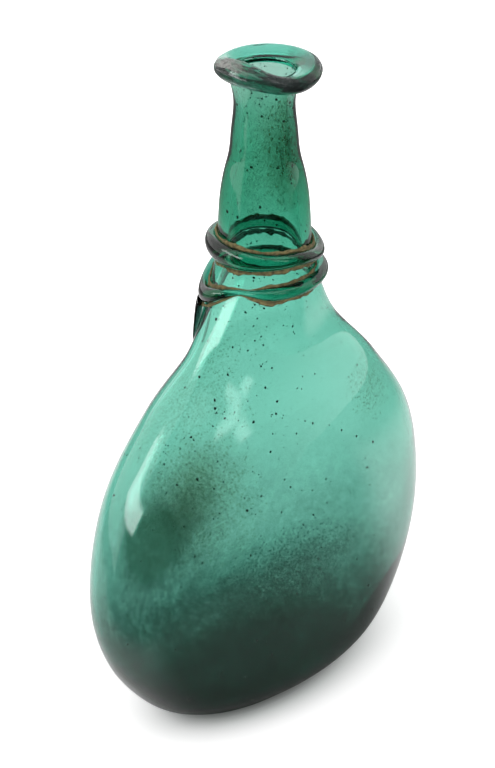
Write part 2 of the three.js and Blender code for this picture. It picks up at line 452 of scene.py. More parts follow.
def pulled_ring(
    name: str, radius: float, section: float, middle: Vector, sides: int, steps: int,
    place_of: Callable[[float, float], Vector],
) -> bpy.types.Object:
    """A closed ring: a round section spun once about an upright axis, then pulled to its shape all round.

    Args:
        name: The piece's name.
        radius: Radius of the plain ring.
        section: Radius of its section.
        middle: Its middle.
        sides: Vertices round the section.
        steps: Sections round the ring.
        place_of: Gives a vertex's place from its angle round the ring and its angle round the section.

    Returns:
        The ring, in object mode, smooth and with its faces outwards.
    """
    deselect()
    bpy.ops.mesh.primitive_circle_add(vertices=sides, radius=section, rotation=(math.pi / 2, 0, 0))
    piece = name_active(name)
    bpy.ops.object.transform_apply(location=False, rotation=True, scale=False)
    bpy.ops.object.mode_set(mode="EDIT")
    bpy.ops.mesh.select_all(action="SELECT")
    bpy.ops.transform.translate(value=(middle.x + radius, middle.y, middle.z))
    bpy.ops.mesh.spin(steps=steps, angle=TURN, center=middle, axis=(0, 0, 1))
    bpy.ops.mesh.select_all(action="SELECT")
    bpy.ops.mesh.remove_doubles(threshold=SEAM)
    bpy.ops.object.mode_set(mode="OBJECT")
    for vertex in piece.data.vertices:
        off = vertex.co - middle
        angle = math.atan2(off.y, off.x)
        around = math.atan2(off.z, math.hypot(off.x, off.y) - radius)
        vertex.co = place_of(angle, around)
    piece.data.update()
    face_outwards(piece)
    smooth_faces(piece)
    return piece


class Tree:
    """Lays and links the nodes of one material, world or group."""

    def __init__(self, tree: bpy.types.NodeTree) -> None:
        """Keeps the tree."""
        self.tree = tree

    def add(self, kind: str, **settings: object) -> bpy.types.Node:
        """Adds a node.

        Args:
            kind: The node's type.
            settings: The node's own settings.

        Returns:
            The node.
        """
        node = self.tree.nodes.new(kind)
        for key, value in settings.items():
            setattr(node, key, value)
        return node

    def feed(self, socket: bpy.types.NodeSocket, value: object) -> None:
        """Links another socket into a socket, or sets its plain value.

        Args:
            socket: The input.
            value: The socket to link, or the value.
        """
        if isinstance(value, bpy.types.NodeSocket):
            self.tree.links.new(value, socket)
        else:
            socket.default_value = value

    def fill(self, node: bpy.types.Node, values: dict[str, object]) -> bpy.types.Node:
        """Feeds several inputs of a node.

        Args:
            node: The node.
            values: A socket or a plain value for each input's name.

        Returns:
            The node.
        """
        for key, value in values.items():
            self.feed(node.inputs[key], value)
        return node

    def maths(self, operation: str, *values: object, clamp: bool = False) -> bpy.types.NodeSocket:
        """A Math node.

        Args:
            operation: What it does.
            values: Its inputs, sockets or numbers.
            clamp: Whether the result is kept from 0 to 1.

        Returns:
            Its output.
        """
        node = self.add("ShaderNodeMath", operation=operation, use_clamp=clamp)
        for socket, value in zip(node.inputs, values):
            self.feed(socket, value)
        return node.outputs[0]

    def vector(self, operation: str, *values: object) -> bpy.types.NodeSocket:
        """A Vector Math node.

        Args:
            operation: What it does.
            values: Its inputs, sockets or vectors.

        Returns:
            Its output, a number for a length or a dot product.
        """
        node = self.add("ShaderNodeVectorMath", operation=operation)
        for socket, value in zip(node.inputs, values):
            self.feed(socket, value)
        return node.outputs["Value" if operation in ("LENGTH", "DOT_PRODUCT") else "Vector"]

    def place(self) -> bpy.types.NodeSocket:
        """Object coordinates."""
        return self.add("ShaderNodeTexCoord").outputs["Object"]

    def axis(self, place: object, name: str) -> bpy.types.NodeSocket:
        """One coordinate of a place."""
        return self.fill(self.add("ShaderNodeSeparateXYZ"), {"Vector": place}).outputs[name]

    def attribute(self, name: str) -> bpy.types.NodeSocket:
        """A number stored on the piece."""
        return self.add("ShaderNodeAttribute", attribute_name=name).outputs["Fac"]

    def blend(
        self, share: object, first: object, second: object, kind: str = "MIX"
    ) -> bpy.types.NodeSocket:
        """Mixes two colours.

        Args:
            share: How much of the second shows.
            first: The first colour.
            second: The second colour.
            kind: The way of mixing.

        Returns:
            The mixed colour.
        """
        node = self.add("ShaderNodeMix", data_type="RGBA", blend_type=kind)
        self.feed(node.inputs["Factor"], share)
        self.feed(node.inputs[6], first)
        self.feed(node.inputs[7], second)
        return node.outputs[2]

    def between(self, share: object, first: object, second: object) -> bpy.types.NodeSocket:
        """Mixes two numbers: the first where the share is 0, and the second where it is 1."""
        node = self.add("ShaderNodeMix", data_type="FLOAT")
        return self.fill(node, {"Factor": share, "A": first, "B": second}).outputs["Result"]

    def ramp(self, value: object, low: float, high: float) -> bpy.types.NodeSocket:
        """A smooth rise from 0 at low to 1 at high. Low may be the larger."""
        node = self.add("ShaderNodeMapRange", interpolation_type="SMOOTHSTEP")
        return self.fill(node, {"Value": value, "From Min": low, "From Max": high}).outputs["Result"]

    def noise(self, place: object, scale: float, detail: float, rough: float) -> bpy.types.NodeSocket:
        """Noise about 0.5 at a place.

        Args:
            place: Where it is read.
            scale: Its waves to the metre.
            detail: How many finer waves are added.
            rough: How strong those are.

        Returns:
            The noise.
        """
        node = self.add("ShaderNodeTexNoise")
        values = {"Vector": place, "Scale": scale, "Detail": detail, "Roughness": rough}
        return self.fill(node, values).outputs["Fac"]

    def bump(self, height: object, distance: float, strength: float) -> bpy.types.NodeSocket:
        """The normal of a surface with a fine relief."""
        values = {"Height": height, "Distance": distance, "Strength": strength}
        return self.fill(self.add("ShaderNodeBump"), values).outputs["Normal"]


def new_material(name: str) -> tuple[bpy.types.Material, Tree]:
    """Starts a material without any nodes.

    Args:
        name: The material's name.

    Returns:
        The material, and a Tree to lay its nodes with.
    """
    made = bpy.data.materials.new(name)
    made.use_nodes = True
    made.node_tree.nodes.clear()
    return made, Tree(made.node_tree)


def group_of(name: str, inputs: dict[str, tuple[str, object]], outputs: dict[str, str]) -> tuple:
    """Starts a shader node group with named sockets.

    Args:
        name: The group's name.
        inputs: Each input's name with its socket type and its first value.
        outputs: Each output's name with its socket type.

    Returns:
        The group, a Tree to lay its nodes with, its input node and its output node.
    """
    tree = bpy.data.node_groups.new(name, "ShaderNodeTree")
    for key, (kind, value) in inputs.items():
        socket = tree.interface.new_socket(name=key, in_out="INPUT", socket_type=kind)
        if value is not None:
            socket.default_value = value
    for key, kind in outputs.items():
        tree.interface.new_socket(name=key, in_out="OUTPUT", socket_type=kind)
    lay = Tree(tree)
    return tree, lay, lay.add("NodeGroupInput"), lay.add("NodeGroupOutput")


# Share of the film's height, and how clear one face is there. The ramp's own two ends come first.
FILM_STEPS = (
    (0.0, 0.14), (1.0, 1.0), (0.115, 0.26), (0.23, 0.36), (0.31, 0.6), (0.385, 0.74),
    (0.46, 0.79), (0.577, 0.88), (0.7, 0.97),
)


def patch_group() -> bpy.types.NodeTree:
    """A soft oval patch with a ragged edge and a mottled body, about a middle in object coordinates.

    Returns:
        The group. It puts out the patch as a mask.
    """
    edge_noise = (1.0, 6.0, 0.62)  # waves to each of the patch's own, detail and roughness
    edge_reach = 1.3
    dust_noise = (12.0, 3.0, 0.75)
    dust_rise = (0.44, 0.6)
    dust_share = 0.6
    crumb_scale = 15.0
    crumb_fall = (0.55, 0.25)
    crumb_share = 0.75
    tree, lay, start, end = group_of(
        "ragged_patch",
        {
            "Middle": ("NodeSocketVector", (0, 0, 0)),
            "Reach": ("NodeSocketVector", (1, 1, 1)),
            "Edge": ("NodeSocketFloat", 0.4),
            "Waves": ("NodeSocketVector", (60, 60, 60)),
            "Mottle": ("NodeSocketFloat", 0.5),
        },
        {"Mask": "NodeSocketFloat"},
    )
    given = start.outputs
    place = lay.place()
    off = lay.vector("SUBTRACT", place, given["Middle"])
    far = lay.vector("LENGTH", lay.vector("DIVIDE", off, given["Reach"]))
    waved = lay.vector("MULTIPLY", place, given["Waves"])
    waves = lay.maths("SUBTRACT", lay.noise(waved, *edge_noise), 0.5)
    ragged = lay.maths("MULTIPLY_ADD", waves, edge_reach, far)
    mask = lay.maths("DIVIDE", lay.maths("SUBTRACT", 1.0, ragged), given["Edge"], clamp=True)
    dust = lay.maths("MULTIPLY", lay.ramp(lay.noise(waved, *dust_noise), *dust_rise), mask)
    cells = lay.fill(lay.add("ShaderNodeTexVoronoi"), {"Vector": waved, "Scale": crumb_scale})
    pick = lay.fill(lay.add("ShaderNodeSeparateColor"), {"Color": cells.outputs["Color"]})
    kept = lay.maths("LESS_THAN", pick.outputs[0], lay.maths("MULTIPLY", mask, crumb_share))
    crumb = lay.maths("MULTIPLY", lay.ramp(cells.outputs["Distance"], *crumb_fall), kept)
    specks = lay.maths("MAXIMUM", crumb, lay.maths("MULTIPLY", dust, dust_share))
    specks = lay.maths("MULTIPLY", specks, given["Mottle"])
    whole = lay.maths("SUBTRACT", 1.0, given["Mottle"])
    lay.feed(end.inputs["Mask"], lay.maths("MULTIPLY_ADD", mask, whole, specks))
    return tree


def film_group() -> bpy.types.NodeTree:
    """The dried film that settled in the flask: dense at the foot and thin above, with uneven tide lines.

    Returns:
        The group. It puts out the share of light that one face of it lets through.
    """
    noises = ((22.0, 4.0, 0.55), (320.0, 4.0, 0.7), (55.0, 4.0, 0.6))  # slow, fine and broad
    least_power = 0.1
    tree, lay, start, end = group_of(
        "settled_film",
        {
            "Top": ("NodeSocketFloat", 0.13),
            "Wander": ("NodeSocketFloat", 0.02),
            "Mottle": ("NodeSocketFloat", 1.7),
            "Lean": ("NodeSocketVector", (0.2, 0.32, 1.0)),
        },
        {"Clear": "NodeSocketFloat"},
    )
    given = start.outputs
    place = lay.place()
    slow, fine, broad = (lay.maths("SUBTRACT", lay.noise(place, *waves), 0.5) for waves in noises)
    level = lay.vector("DOT_PRODUCT", place, given["Lean"])
    height = lay.maths("MULTIPLY_ADD", slow, given["Wander"], level)
    bands = lay.fill(lay.add("ShaderNodeValToRGB"), {"Fac": lay.maths("DIVIDE", height, given["Top"])})
    steps = bands.color_ramp.elements
    for row, (share, clear) in enumerate(FILM_STEPS):
        step = steps[row] if row < 2 else steps.new(share)
        step.position = share
        step.color = (clear, clear, clear, 1)
    power = lay.maths("MULTIPLY_ADD", lay.maths("ADD", fine, broad), given["Mottle"], 1.0)
    power = lay.maths("MAXIMUM", power, least_power)
    lay.feed(end.inputs["Clear"], lay.maths("POWER", bands.outputs["Color"], power))
    return tree


def group_named(name: str, build: Callable[[], bpy.types.NodeTree]) -> bpy.types.NodeTree:
    """A shader group, built on first use."""
    return bpy.data.node_groups.get(name) or build()


@dataclass(frozen=True)
class Patch:
    """A stain on the glass: where it lies, what it lets through and how it is broken up."""

    middle: tuple[float, float, float]
    reach: tuple[float, float, float]
    colour: tuple[float, float, float]
    strength: float
    edge: float = 0.5
    waves: tuple[float, float, float] = (60, 60, 60)
    mottle: float = 0.5

    def mask(self, lay: Tree) -> bpy.types.NodeSocket:
        """Lays the patch's group node in a material.

        Args:
            lay: The material's tree.

        Returns:
            The patch's mask.
        """
        node = lay.add("ShaderNodeGroup", node_tree=group_named("ragged_patch", patch_group))
        values = {"Middle": self.middle, "Reach": self.reach, "Edge": self.edge}
        lay.fill(node, values | {"Waves": self.waves, "Mottle": self.mottle})
        return lay.maths("MULTIPLY", node.outputs["Mask"], self.strength)


@dataclass(frozen=True)
class Glass:
    """One glass: how light fades in it, how its surface lies, and what clings to its inside.

    The "inside" attribute marks the faces toward the hollow, and "fused" is above 0 where two gathers of
    glass have melted together, so that no surface is left between them. Each field of waves holds a noise's
    waves to the metre, its detail and its roughness, and then where its mask starts and ends.
    """

    name: str
    fade_colour: tuple[float, float, float]
    fade_density: float
    roughness: float
    shadow: tuple[float, float, float]
    film: bool = False
    haze: tuple[float, float, float] = (1, 1, 1)
    neck_tint: tuple[float, float, float] = (1, 1, 1)
    patches: tuple[Patch, ...] = ()
    ripple: float = 0.05 * MM
    ripple_waves: tuple[float, float, float] = (60.0, 2.0, 0.4)
    worn_waves: tuple = ((45.0, 5.0, 0.6), (0.35, 0.8))
    haze_waves: tuple = (((70.0, 5.0, 0.65), (0.3, 0.7)), ((600.0, 3.0, 0.7), (0.35, 0.65)))
    neck_rise: tuple[float, float] = (0.15, 0.19)
    gleam: float = 0.3
    refraction: float = 1.5
    least_fused: float = 0.00001

    def residue(self, lay: Tree, place: bpy.types.NodeSocket) -> bpy.types.NodeSocket:
        """The colour of the glass's surfaces: haze and stains that cling inside, and a grey darkening of the
        outside of the neck.

        Args:
            lay: The material's tree.
            place: Object coordinates.

        Returns:
            The colour, white where the glass is clean.
        """
        broad, fine = (lay.ramp(lay.noise(place, *waves), *rise) for waves, rise in self.haze_waves)
        stained = lay.blend(lay.maths("MULTIPLY", broad, fine), (*self.haze, 1), WHITE)
        for patch in self.patches:
            stained = lay.blend(patch.mask(lay), stained, (*patch.colour, 1), "MULTIPLY")
        neck = lay.blend(lay.ramp(lay.axis(place, "Z"), *self.neck_rise), WHITE, (*self.neck_tint, 1))
        return lay.blend(lay.attribute("inside"), neck, stained)

    def material(self) -> bpy.types.Material:
        """Builds the material.

        Returns:
            The material, with a shader that lets the lamps through in shadows.
        """
        made, lay = new_material(self.name)
        place = lay.place()
        residue: object = self.residue(lay, place) if self.film else WHITE
        surface = lay.maths("LESS_THAN", lay.attribute("fused"), self.least_fused)
        waves, rise = self.worn_waves
        worn = lay.ramp(lay.noise(place, *waves), *rise)
        glass = lay.fill(
            lay.add("ShaderNodeBsdfPrincipled"),
            {
                "Base Color": residue,
                "Transmission Weight": 1.0,
                "IOR": self.refraction,
                "Specular IOR Level": self.gleam,
                "Alpha": surface,
                "Roughness": lay.maths("MULTIPLY_ADD", worn, self.roughness, self.roughness / 2),
                "Normal": lay.bump(lay.noise(place, *self.ripple_waves), self.ripple, 1.0),
            },
        )
        shade = lay.blend(1.0, (*self.shadow, 1), residue, "MULTIPLY")
        clear = lay.fill(lay.add("ShaderNodeBsdfTransparent"), {"Color": lay.blend(surface, WHITE, shade)})
        both = lay.add("ShaderNodeMixShader")
        lay.feed(both.inputs["Fac"], lay.add("ShaderNodeLightPath").outputs["Is Shadow Ray"])
        lay.feed(both.inputs[1], glass.outputs["BSDF"])
        lay.feed(both.inputs[2], clear.outputs["BSDF"])
        fade = lay.add("ShaderNodeVolumeAbsorption")
        lay.fill(fade, {"Color": (*self.fade_colour, 1), "Density": self.fade_density})
        end = lay.add("ShaderNodeOutputMaterial")
        lay.fill(end, {"Surface": both.outputs["Shader"], "Volume": fade.outputs["Volume"]})
        return made


@dataclass(frozen=True)
class Grit:
    """A dry finish in two mixed shades, opaque, or only where its patches and the film lie."""

    name: str
    light: tuple[float, float, float]
    dark: tuple[float, float, float]
    roughness: float
    waves: float = 500.0
    patches: tuple[Patch, ...] = ()
    film: bool = False
    relief: float = 0.2 * MM
    relief_strength: float = 0.8
    grain: tuple[float, float] = (6.0, 0.7)
    grain_rise: tuple[float, float] = (0.35, 0.65)
    roughness_rise: float = 0.1

    def cover(self, lay: Tree) -> object:
        """How much of the surface the finish covers, by its patches and by the settled film.

        Args:
            lay: The material's tree.

        Returns:
            The cover, 1 where nothing shows through.
        """
        if not self.patches:
            return 1.0
        clear: object = 1.0
        if self.film:
            film = lay.add("ShaderNodeGroup", node_tree=group_named("settled_film", film_group))
            clear = film.outputs["Clear"]
        for patch in self.patches:
            clear = lay.maths("MULTIPLY", lay.maths("SUBTRACT", 1.0, patch.mask(lay)), clear)
        if self.film:
            clear = lay.maths("SQRT", clear)
        return lay.maths("SUBTRACT", 1.0, clear)

    def material(self) -> bpy.types.Material:
        """Builds the material.

        Returns:
            The material.
        """
        made, lay = new_material(self.name)
        grain = lay.noise(lay.place(), self.waves, *self.grain)
        shade = lay.ramp(grain, *self.grain_rise)
        earth = lay.fill(
            lay.add("ShaderNodeBsdfPrincipled"),
            {
                "Base Color": lay.blend(shade, (*self.dark, 1), (*self.light, 1)),
                "Roughness": lay.maths("MULTIPLY_ADD", shade, self.roughness_rise, self.roughness),
                "Normal": lay.bump(grain, self.relief, self.relief_strength),
                "Alpha": self.cover(lay),
            },
        )
        lay.fill(lay.add("ShaderNodeOutputMaterial"), {"Surface": earth.outputs["BSDF"]})
        return made


def dress(piece: bpy.types.Object, material: bpy.types.Material, slot: Slot, *nodes: str) -> None:
    """Gives a piece its material and its place in the frame, and reports it.

    Args:
        piece: The finished piece.
        material: Its material.
        slot: Not used.
        nodes: The CAD nodes that it stands for.
    """
    piece.data.materials.clear()
    piece.data.materials.append(material)
    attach(piece, BODY)
    if nodes:
        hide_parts(*nodes)
    LOG.info("%s: %d faces", piece.name, len(piece.data.polygons))


@dataclass
class Bubble:
    """The blown body and neck, one wall of glass with the cut edge of the neck open.

    `cover` says how far inside the seats of the lip and the trails a place of the neck lies. The uneven
    shares are shares of the neck root's height, between which the wall's unevenness comes and goes again.
    """

    outline: Outline
    cover: Callable[[float, float], float]
    around: int = 72
    outer_rings: int = 120
    inner_rings: int = 76
    wall: float = 2.3 * MM
    foot_wall: float = 4.5 * MM
    neck_wall: float = 3.9 * MM
    wall_thin_share: float = 0.24
    thickens = (-0.35, 0.3)  # shares of the neck's length
    thins = (0.5, 1.0)
    edge_loop: float = 0.25 * MM
    corner_rise: float = 2.5 * MM
    residue_top: float = 0.72
    residue_bed: float = 0.22 * MM
    residue_skin: float = 0.06 * MM
    stain_shares: tuple[float, float] = (0.3, 0.97)
    stain_sides: int = 48
    kick: float = 3.2 * MM
    band_share: float = 0.62
    kick_shares = (0.06, 0.3, 0.65, 0.94)
    foot_shares = (0.72, 0.86, 0.97)
    floor_shares = (0.9, 0.75, 0.5, 0.25, 0.05)
    swell: float = 0.5 * MM
    swell_waves: float = 26.0
    dent_waves: float = 3.1
    dent_share: float = 0.14
    uneven_shares = ((0.02, 0.16), (0.82, 0.93))
    table_seat: float = 0.35 * MM
    seats_from: float = 0.8
    bore_share: float = 0.75
    edge_seat: float = 0.02 * MM

    def wall_at(self, height: float) -> float:
        """Thickness of the wall at a height.

        Args:
            height: The height above the table.

        Returns:
            The thickness.
        """
        line = self.outline
        low = mix(self.foot_wall, self.wall, smoothstep(height, 0, line.root_height * self.wall_thin_share))
        up = (height - line.root_height) / line.neck_length
        thick = smoothstep(up, *self.thickens) * (1 - smoothstep(up, *self.thins))
        return mix(low, self.neck_wall, thick)

    def inner_ring(self, share: float) -> Ring:
        """The ring inside the wall, at the height of a point of the outline.

        Args:
            share: Share of the outline.

        Returns:
            The inner ring.
        """
        step = 1e-3
        curve = self.outline.curve
        here = curve.point(share)
        along = curve.point(min(share + step, 1)) - curve.point(max(share - step, 0))
        wall = self.wall_at(here.z)
        wide = here.x - wall * math.hypot(along.x, along.z) / along.z
        deep = here.y - wall * math.hypot(along.y, along.z) / along.z
        return Ring(wide, deep, self.outline.shift(here.z), here.z)

    def hollow(self) -> list[Ring]:
        """The rings of the surface toward the hollow, from the cut edge down and in over the floor.

        Returns:
            The rings, in that order.
        """
        floor_height = self.kick + self.foot_wall
        shares = self.outline.curve.even_shares(self.inner_rings)
        wall = [self.inner_ring(share) for share in reversed(shares)]
        wall = [ring for ring in wall if ring.height > floor_height + self.corner_rise]
        top, corner = wall[0], wall[-1]
        wall.insert(1, Ring(top.wide, top.deep, top.middle, top.height - self.edge_loop))
        for share in self.floor_shares:
            height = mix(floor_height, corner.height, share**3)
            wall.append(Ring(corner.wide * share, corner.deep * share, 0, height))
        return wall

    def settle(self, piece: bpy.types.Object) -> None:
        """Leaves a piece as uneven as the free-blown wall, and makes it finer and smooth.

        Args:
            piece: The piece.
        """
        for vertex in piece.data.vertices:
            outwards = Vector((vertex.co.x, vertex.co.y, 0)).normalized()
            vertex.co -= outwards * self.unevenness(vertex.co)
        refine(piece)

    def residue(self) -> bpy.types.Object:
        """Models what dried on the lower inside: a thin closed skin bedded in the face of the wall.

        Returns:
            The piece.
        """
        top = self.residue_top * self.outline.root_height
        rings = [ring for ring in self.hollow() if ring.height < top]
        floor = len(self.floor_shares)

        def sheet(bed: float) -> list[Ring]:
            """The rings of one face of the skin, bedded that deep in the wall."""
            grown = []
            for row, ring in enumerate(rings):
                low = bed if row >= len(rings) - floor else 0.0
                grown.append(Ring(ring.wide + bed, ring.deep + bed, ring.middle, ring.height - low))
            return grown

        outer = sheet(self.residue_bed)
        tube = DrawnTube("dried_residue", self.around, outer[-1])
        for ring in outer[-2::-1]:
            tube.draw(ring)
        inner = sheet(self.residue_bed - self.residue_skin)
        for ring in inner:
            tube.draw(ring)
        piece = tube.close(inner[-1].height)
        self.settle(piece)
        return piece

    def neck_stain(self) -> bpy.types.Object:
        """Models what dried in the neck: a thin closed strip bedded in the wall of the bore.

        Returns:
            The piece.
        """
        line = self.outline
        low, high = (line.root_height + share * line.neck_length for share in self.stain_shares)

        def place_of(angle: float, around: float) -> Vector:
            """A place of the strip in the wall of the bore."""
            across, through = strip_shares(around)
            height = mix(low, high, across)
            bore = line.radius(angle, height) - self.wall_at(height)
            return line.polar(bore + self.residue_bed - self.residue_skin * through, angle, height)

        middle = line.axis(low)
        return pulled_ring(
            "neck_stain", line.edge_radius, self.wall, middle, self.stain_sides, self.around, place_of
        )

    def unevenness(self, place: Vector) -> float:
        """How far free blowing leaves the wall inside the even outline at a place.

        Args:
            place: A place of the wall.

        Returns:
            The distance.
        """
        root = self.outline.root_height
        comes, goes = (smoothstep(place.z, low * root, high * root) for low, high in self.uneven_shares)
        swell = 0.5 + noise.noise(place * self.swell_waves)
        dent = 0.5 + noise.noise(place * self.swell_waves * self.dent_waves)
        return comes * (1 - goes) * self.swell * max(swell + self.dent_share * dent, 0)

    def fused(self, place: Vector) -> float:
        """How far inside the seats of the lip, the trails and the table a place of the surface lies.

        Args:
            place: A place of the surface.

        Returns:
            The distance, 0 or below outside every seat.
        """
        line = self.outline
        if place.z < line.root_height * self.seats_from:
            return max(self.table_seat - place.z, -MM)
        radius, angle = line.unroll(place)
        height = min(place.z, line.edge_height)
        if radius < line.radius(angle, height) - self.wall * self.bore_share:
            return max(place.z - line.edge_height, -MM) - self.edge_seat
        return max(self.cover(angle, height), -MM)

    def build(self) -> bpy.types.Object:
        """Models the bubble: hollow, foot, outside, cut edge, inside and floor.

        Returns:
            The piece.
        """
        line = self.outline
        wide, deep = line.foot_width / 2, line.foot_depth / 2
        kick_wide, kick_deep = wide * self.band_share, deep * self.band_share
        rings = []
        for share in self.kick_shares:
            rings.append(Ring(kick_wide * share, kick_deep * share, 0, self.kick * (1 - share * share)))
        for share in self.foot_shares:
            rings.append(Ring(wide * share, deep * share, 0, 0))
        for share in line.curve.even_shares(self.outer_rings):
            point = line.curve.point(share)
            rings.append(Ring(point.x, point.y, line.shift(point.z), point.z))
        bore = line.edge_radius - self.wall_at(line.edge_height)
        for radius in (line.edge_radius - self.edge_loop, bore + self.edge_loop):
            rings.append(Ring(radius, radius, line.neck_shift, line.edge_height))
        first_inside = self.around * len(rings) + 1
        tube = DrawnTube("blown_bubble_glass", self.around, rings[0])
        for ring in rings[1:] + self.hollow():
            tube.draw(ring)
        piece = tube.close(self.kick + self.foot_wall)
        store(piece, "inside", lambda vertex: float(vertex.index >= first_inside))
        self.settle(piece)
        store(piece, "fused", lambda vertex: self.fused(vertex.co))
        return piece


@dataclass
class Lip:
    """The thick roll of glass laid over the cut edge of the neck, pinched in at one side.

    The rows of roll shares are corners of its section: the share of the way out from the mouth, and of the
    way up from the lower edge. The funnel from the bore ends at the first corner where it is narrow and at
    the second where it is wide. Its bend is given across and up, each for narrow and for wide.
    """

    outline: Outline
    flare: float = 1.7 * MM
    overhang: float = 5.4 * MM
    rise: float = 3.18 * MM
    hang: float = 2.3 * MM
    lean: float = 1.2 * MM
    pinch: float = 3.6 * MM
    bend: float = 3.1 * MM
    droop: float = 0.8 * MM
    wall: float = 2.3 * MM
    lean_angle: float = math.radians(314)
    pinched = Place(184, 84)
    drooped = Place(264, 60)
    funnel = Place(50, 120)
    under_bend_share: float = 0.33
    roll_shares = (
        (0.2, 0.96), (0.42, 1), (0.66, 0.95), (0.87, 0.8), (1, 0.52), (0.96, 0.27), (0.82, 0.08), (0.6, 0),
    )
    funnel_bend = ((0.12, 0.5), (0.72, 0.42))
    funnel_shares = (0, 0.12, 0.25, 0.4, 0.55, 0.7, 0.85)
    seat_margin: float = 0.1 * MM
    crust_sides: int = 24
    sides: int = 60
    steps: int = 160

    def underside(self, angle: float) -> float:
        """Height of the lip's lower edge in a direction."""
        bend = self.bend * self.pinched.near(angle) * self.under_bend_share
        return self.outline.edge_height - self.hang + bend - self.droop * self.drooped.near(angle)

    def cover(self, angle: float, height: float) -> float:
        """How far above the lip's lower edge a place of the neck lies, below 0 under it."""
        return height - self.underside(angle) - self.seat_margin

    def fused(self, place: Vector) -> float:
        """Above 0 where the lip lies on the neck or on its cut edge.

        Args:
            place: A place of the lip's surface.

        Returns:
            How far inside the seat it lies.
        """
        line = self.outline
        radius, angle = line.unroll(place)
        side = radius - line.radius(angle, min(place.z, line.edge_height))
        return SEAT_GAP + SEAT_REACH - max(side, place.z - line.edge_height)

    def section(self, angle: float) -> list[Vector]:
        """The corners of the lip's section in one direction, from the bore over the crest to the neck.

        Args:
            angle: The direction, in radians.

        Returns:
            The corners, in that order.
        """
        line = self.outline
        near = self.pinched.near(angle)
        drooped = self.drooped.near(angle)
        lean = self.lean * math.cos(angle - self.lean_angle)
        bore = line.edge_radius - self.wall
        mouth = bore + self.flare * (1 + drooped) - self.pinch * near + lean
        outer = line.edge_radius + self.overhang + lean
        under = self.underside(angle)
        crest = line.edge_height + self.rise + self.bend * near - self.droop * drooped

        def corner(across: float, up: float) -> tuple[float, float]:
            """A corner of the roll, from its shares of the way out and up."""
            return mix(mouth, outer, across), mix(under, crest, up)

        wide = self.funnel.near(angle)
        start = Vector((bore, line.edge_height + SEAT_GAP))
        stop = Vector(corner(*(mix(*ends, wide) for ends in zip(*self.roll_shares[:2]))))
        across, up = (mix(*ends, wide) for ends in self.funnel_bend)
        turn = Vector((mix(start.x, stop.x, across), mix(start.y, stop.y, up)))
        corners = []
        for share in self.funnel_shares:
            corners.append(tuple(start.lerp(turn, share).lerp(turn.lerp(stop, share), share)))
        corners += [corner(*shares) for shares in self.roll_shares[1:]]
        for height in (under, (under + line.edge_height) / 2, line.edge_height):
            corners.append((line.radius(angle, height) + SEAT_GAP, height))
        corners.append((line.edge_radius + SEAT_GAP, line.edge_height + SEAT_GAP))
        return [line.polar(radius, angle, height) for radius, height in corners]

    def on_section(self, angle: float, share: float) -> Vector:
        """A place on the lip's section, at a share of its length from the bore over the crest.

        Args:
            angle: The direction of the section, in radians.
            share: The share of its length.

        Returns:
            The place.
        """
        corners = self.section(angle)
        loop = corners + corners[:1]
        lengths = running_lengths(loop)
        goal = share % 1.0 * lengths[-1]
        row = 0
        while row < len(corners) - 1 and lengths[row + 1] < goal:
            row += 1
        rest = (goal - lengths[row]) / max(lengths[row + 1] - lengths[row], 1e-9)
        return loop[row].lerp(loop[row + 1], rest)

    def crust(self, name: str, span: tuple[float, float], stand: float, thick: float) -> bpy.types.Object:
        """Models a thin closed strip that hugs the lip: the weathered skin, and also the dark sheet of
        painted shade over the front of the roll.

        Args:
            name: The piece's name.
            span: Where it starts and ends, as shares of the section's length.
            stand: How far it stands off the lip.
            thick: How thick it is.

        Returns:
            The piece.
        """
        line = self.outline
        step = 0.01

        def place_of(angle: float, around: float) -> Vector:
            """A place of the strip, square to the lip's section."""
            across, through = strip_shares(around)
            share = mix(*span, across)
            along = self.on_section(angle, share + step) - self.on_section(angle, share - step)
            outwards = Vector((math.cos(angle), math.sin(angle), 0))
            off = (Vector((0, 0, along.dot(outwards))) - outwards * along.z).normalized()
            return self.on_section(angle, share) + off * (stand + thick * through)

        middle = line.axis(line.edge_height)
        section = self.overhang / 2
        return pulled_ring(name, line.edge_radius, section, middle, self.crust_sides, self.steps, place_of)

    def build(self) -> bpy.types.Object:
        """Models the lip from a spun ring, pulled to its section all round.

        Returns:
            The piece.
        """
        line = self.outline

        def place_of(angle: float, around: float) -> Vector:
            """A place of the section, whose length starts at the bore."""
            return self.on_section(angle, (math.pi - around) / TURN)

        middle = line.axis(line.edge_height)
        section = self.overhang / 2
        piece = pulled_ring(
            "rolled_lip_glass", line.edge_radius, section, middle, self.sides, self.steps, place_of
        )
        refine(piece)
        store(piece, "fused", lambda vertex: self.fused(vertex.co))
        return piece


@dataclass(frozen=True)
class Section:
    """A trail's section in one direction: its height, the radius to its middle and its half sizes."""

    height: float
    middle: float
    tall: float
    deep: float


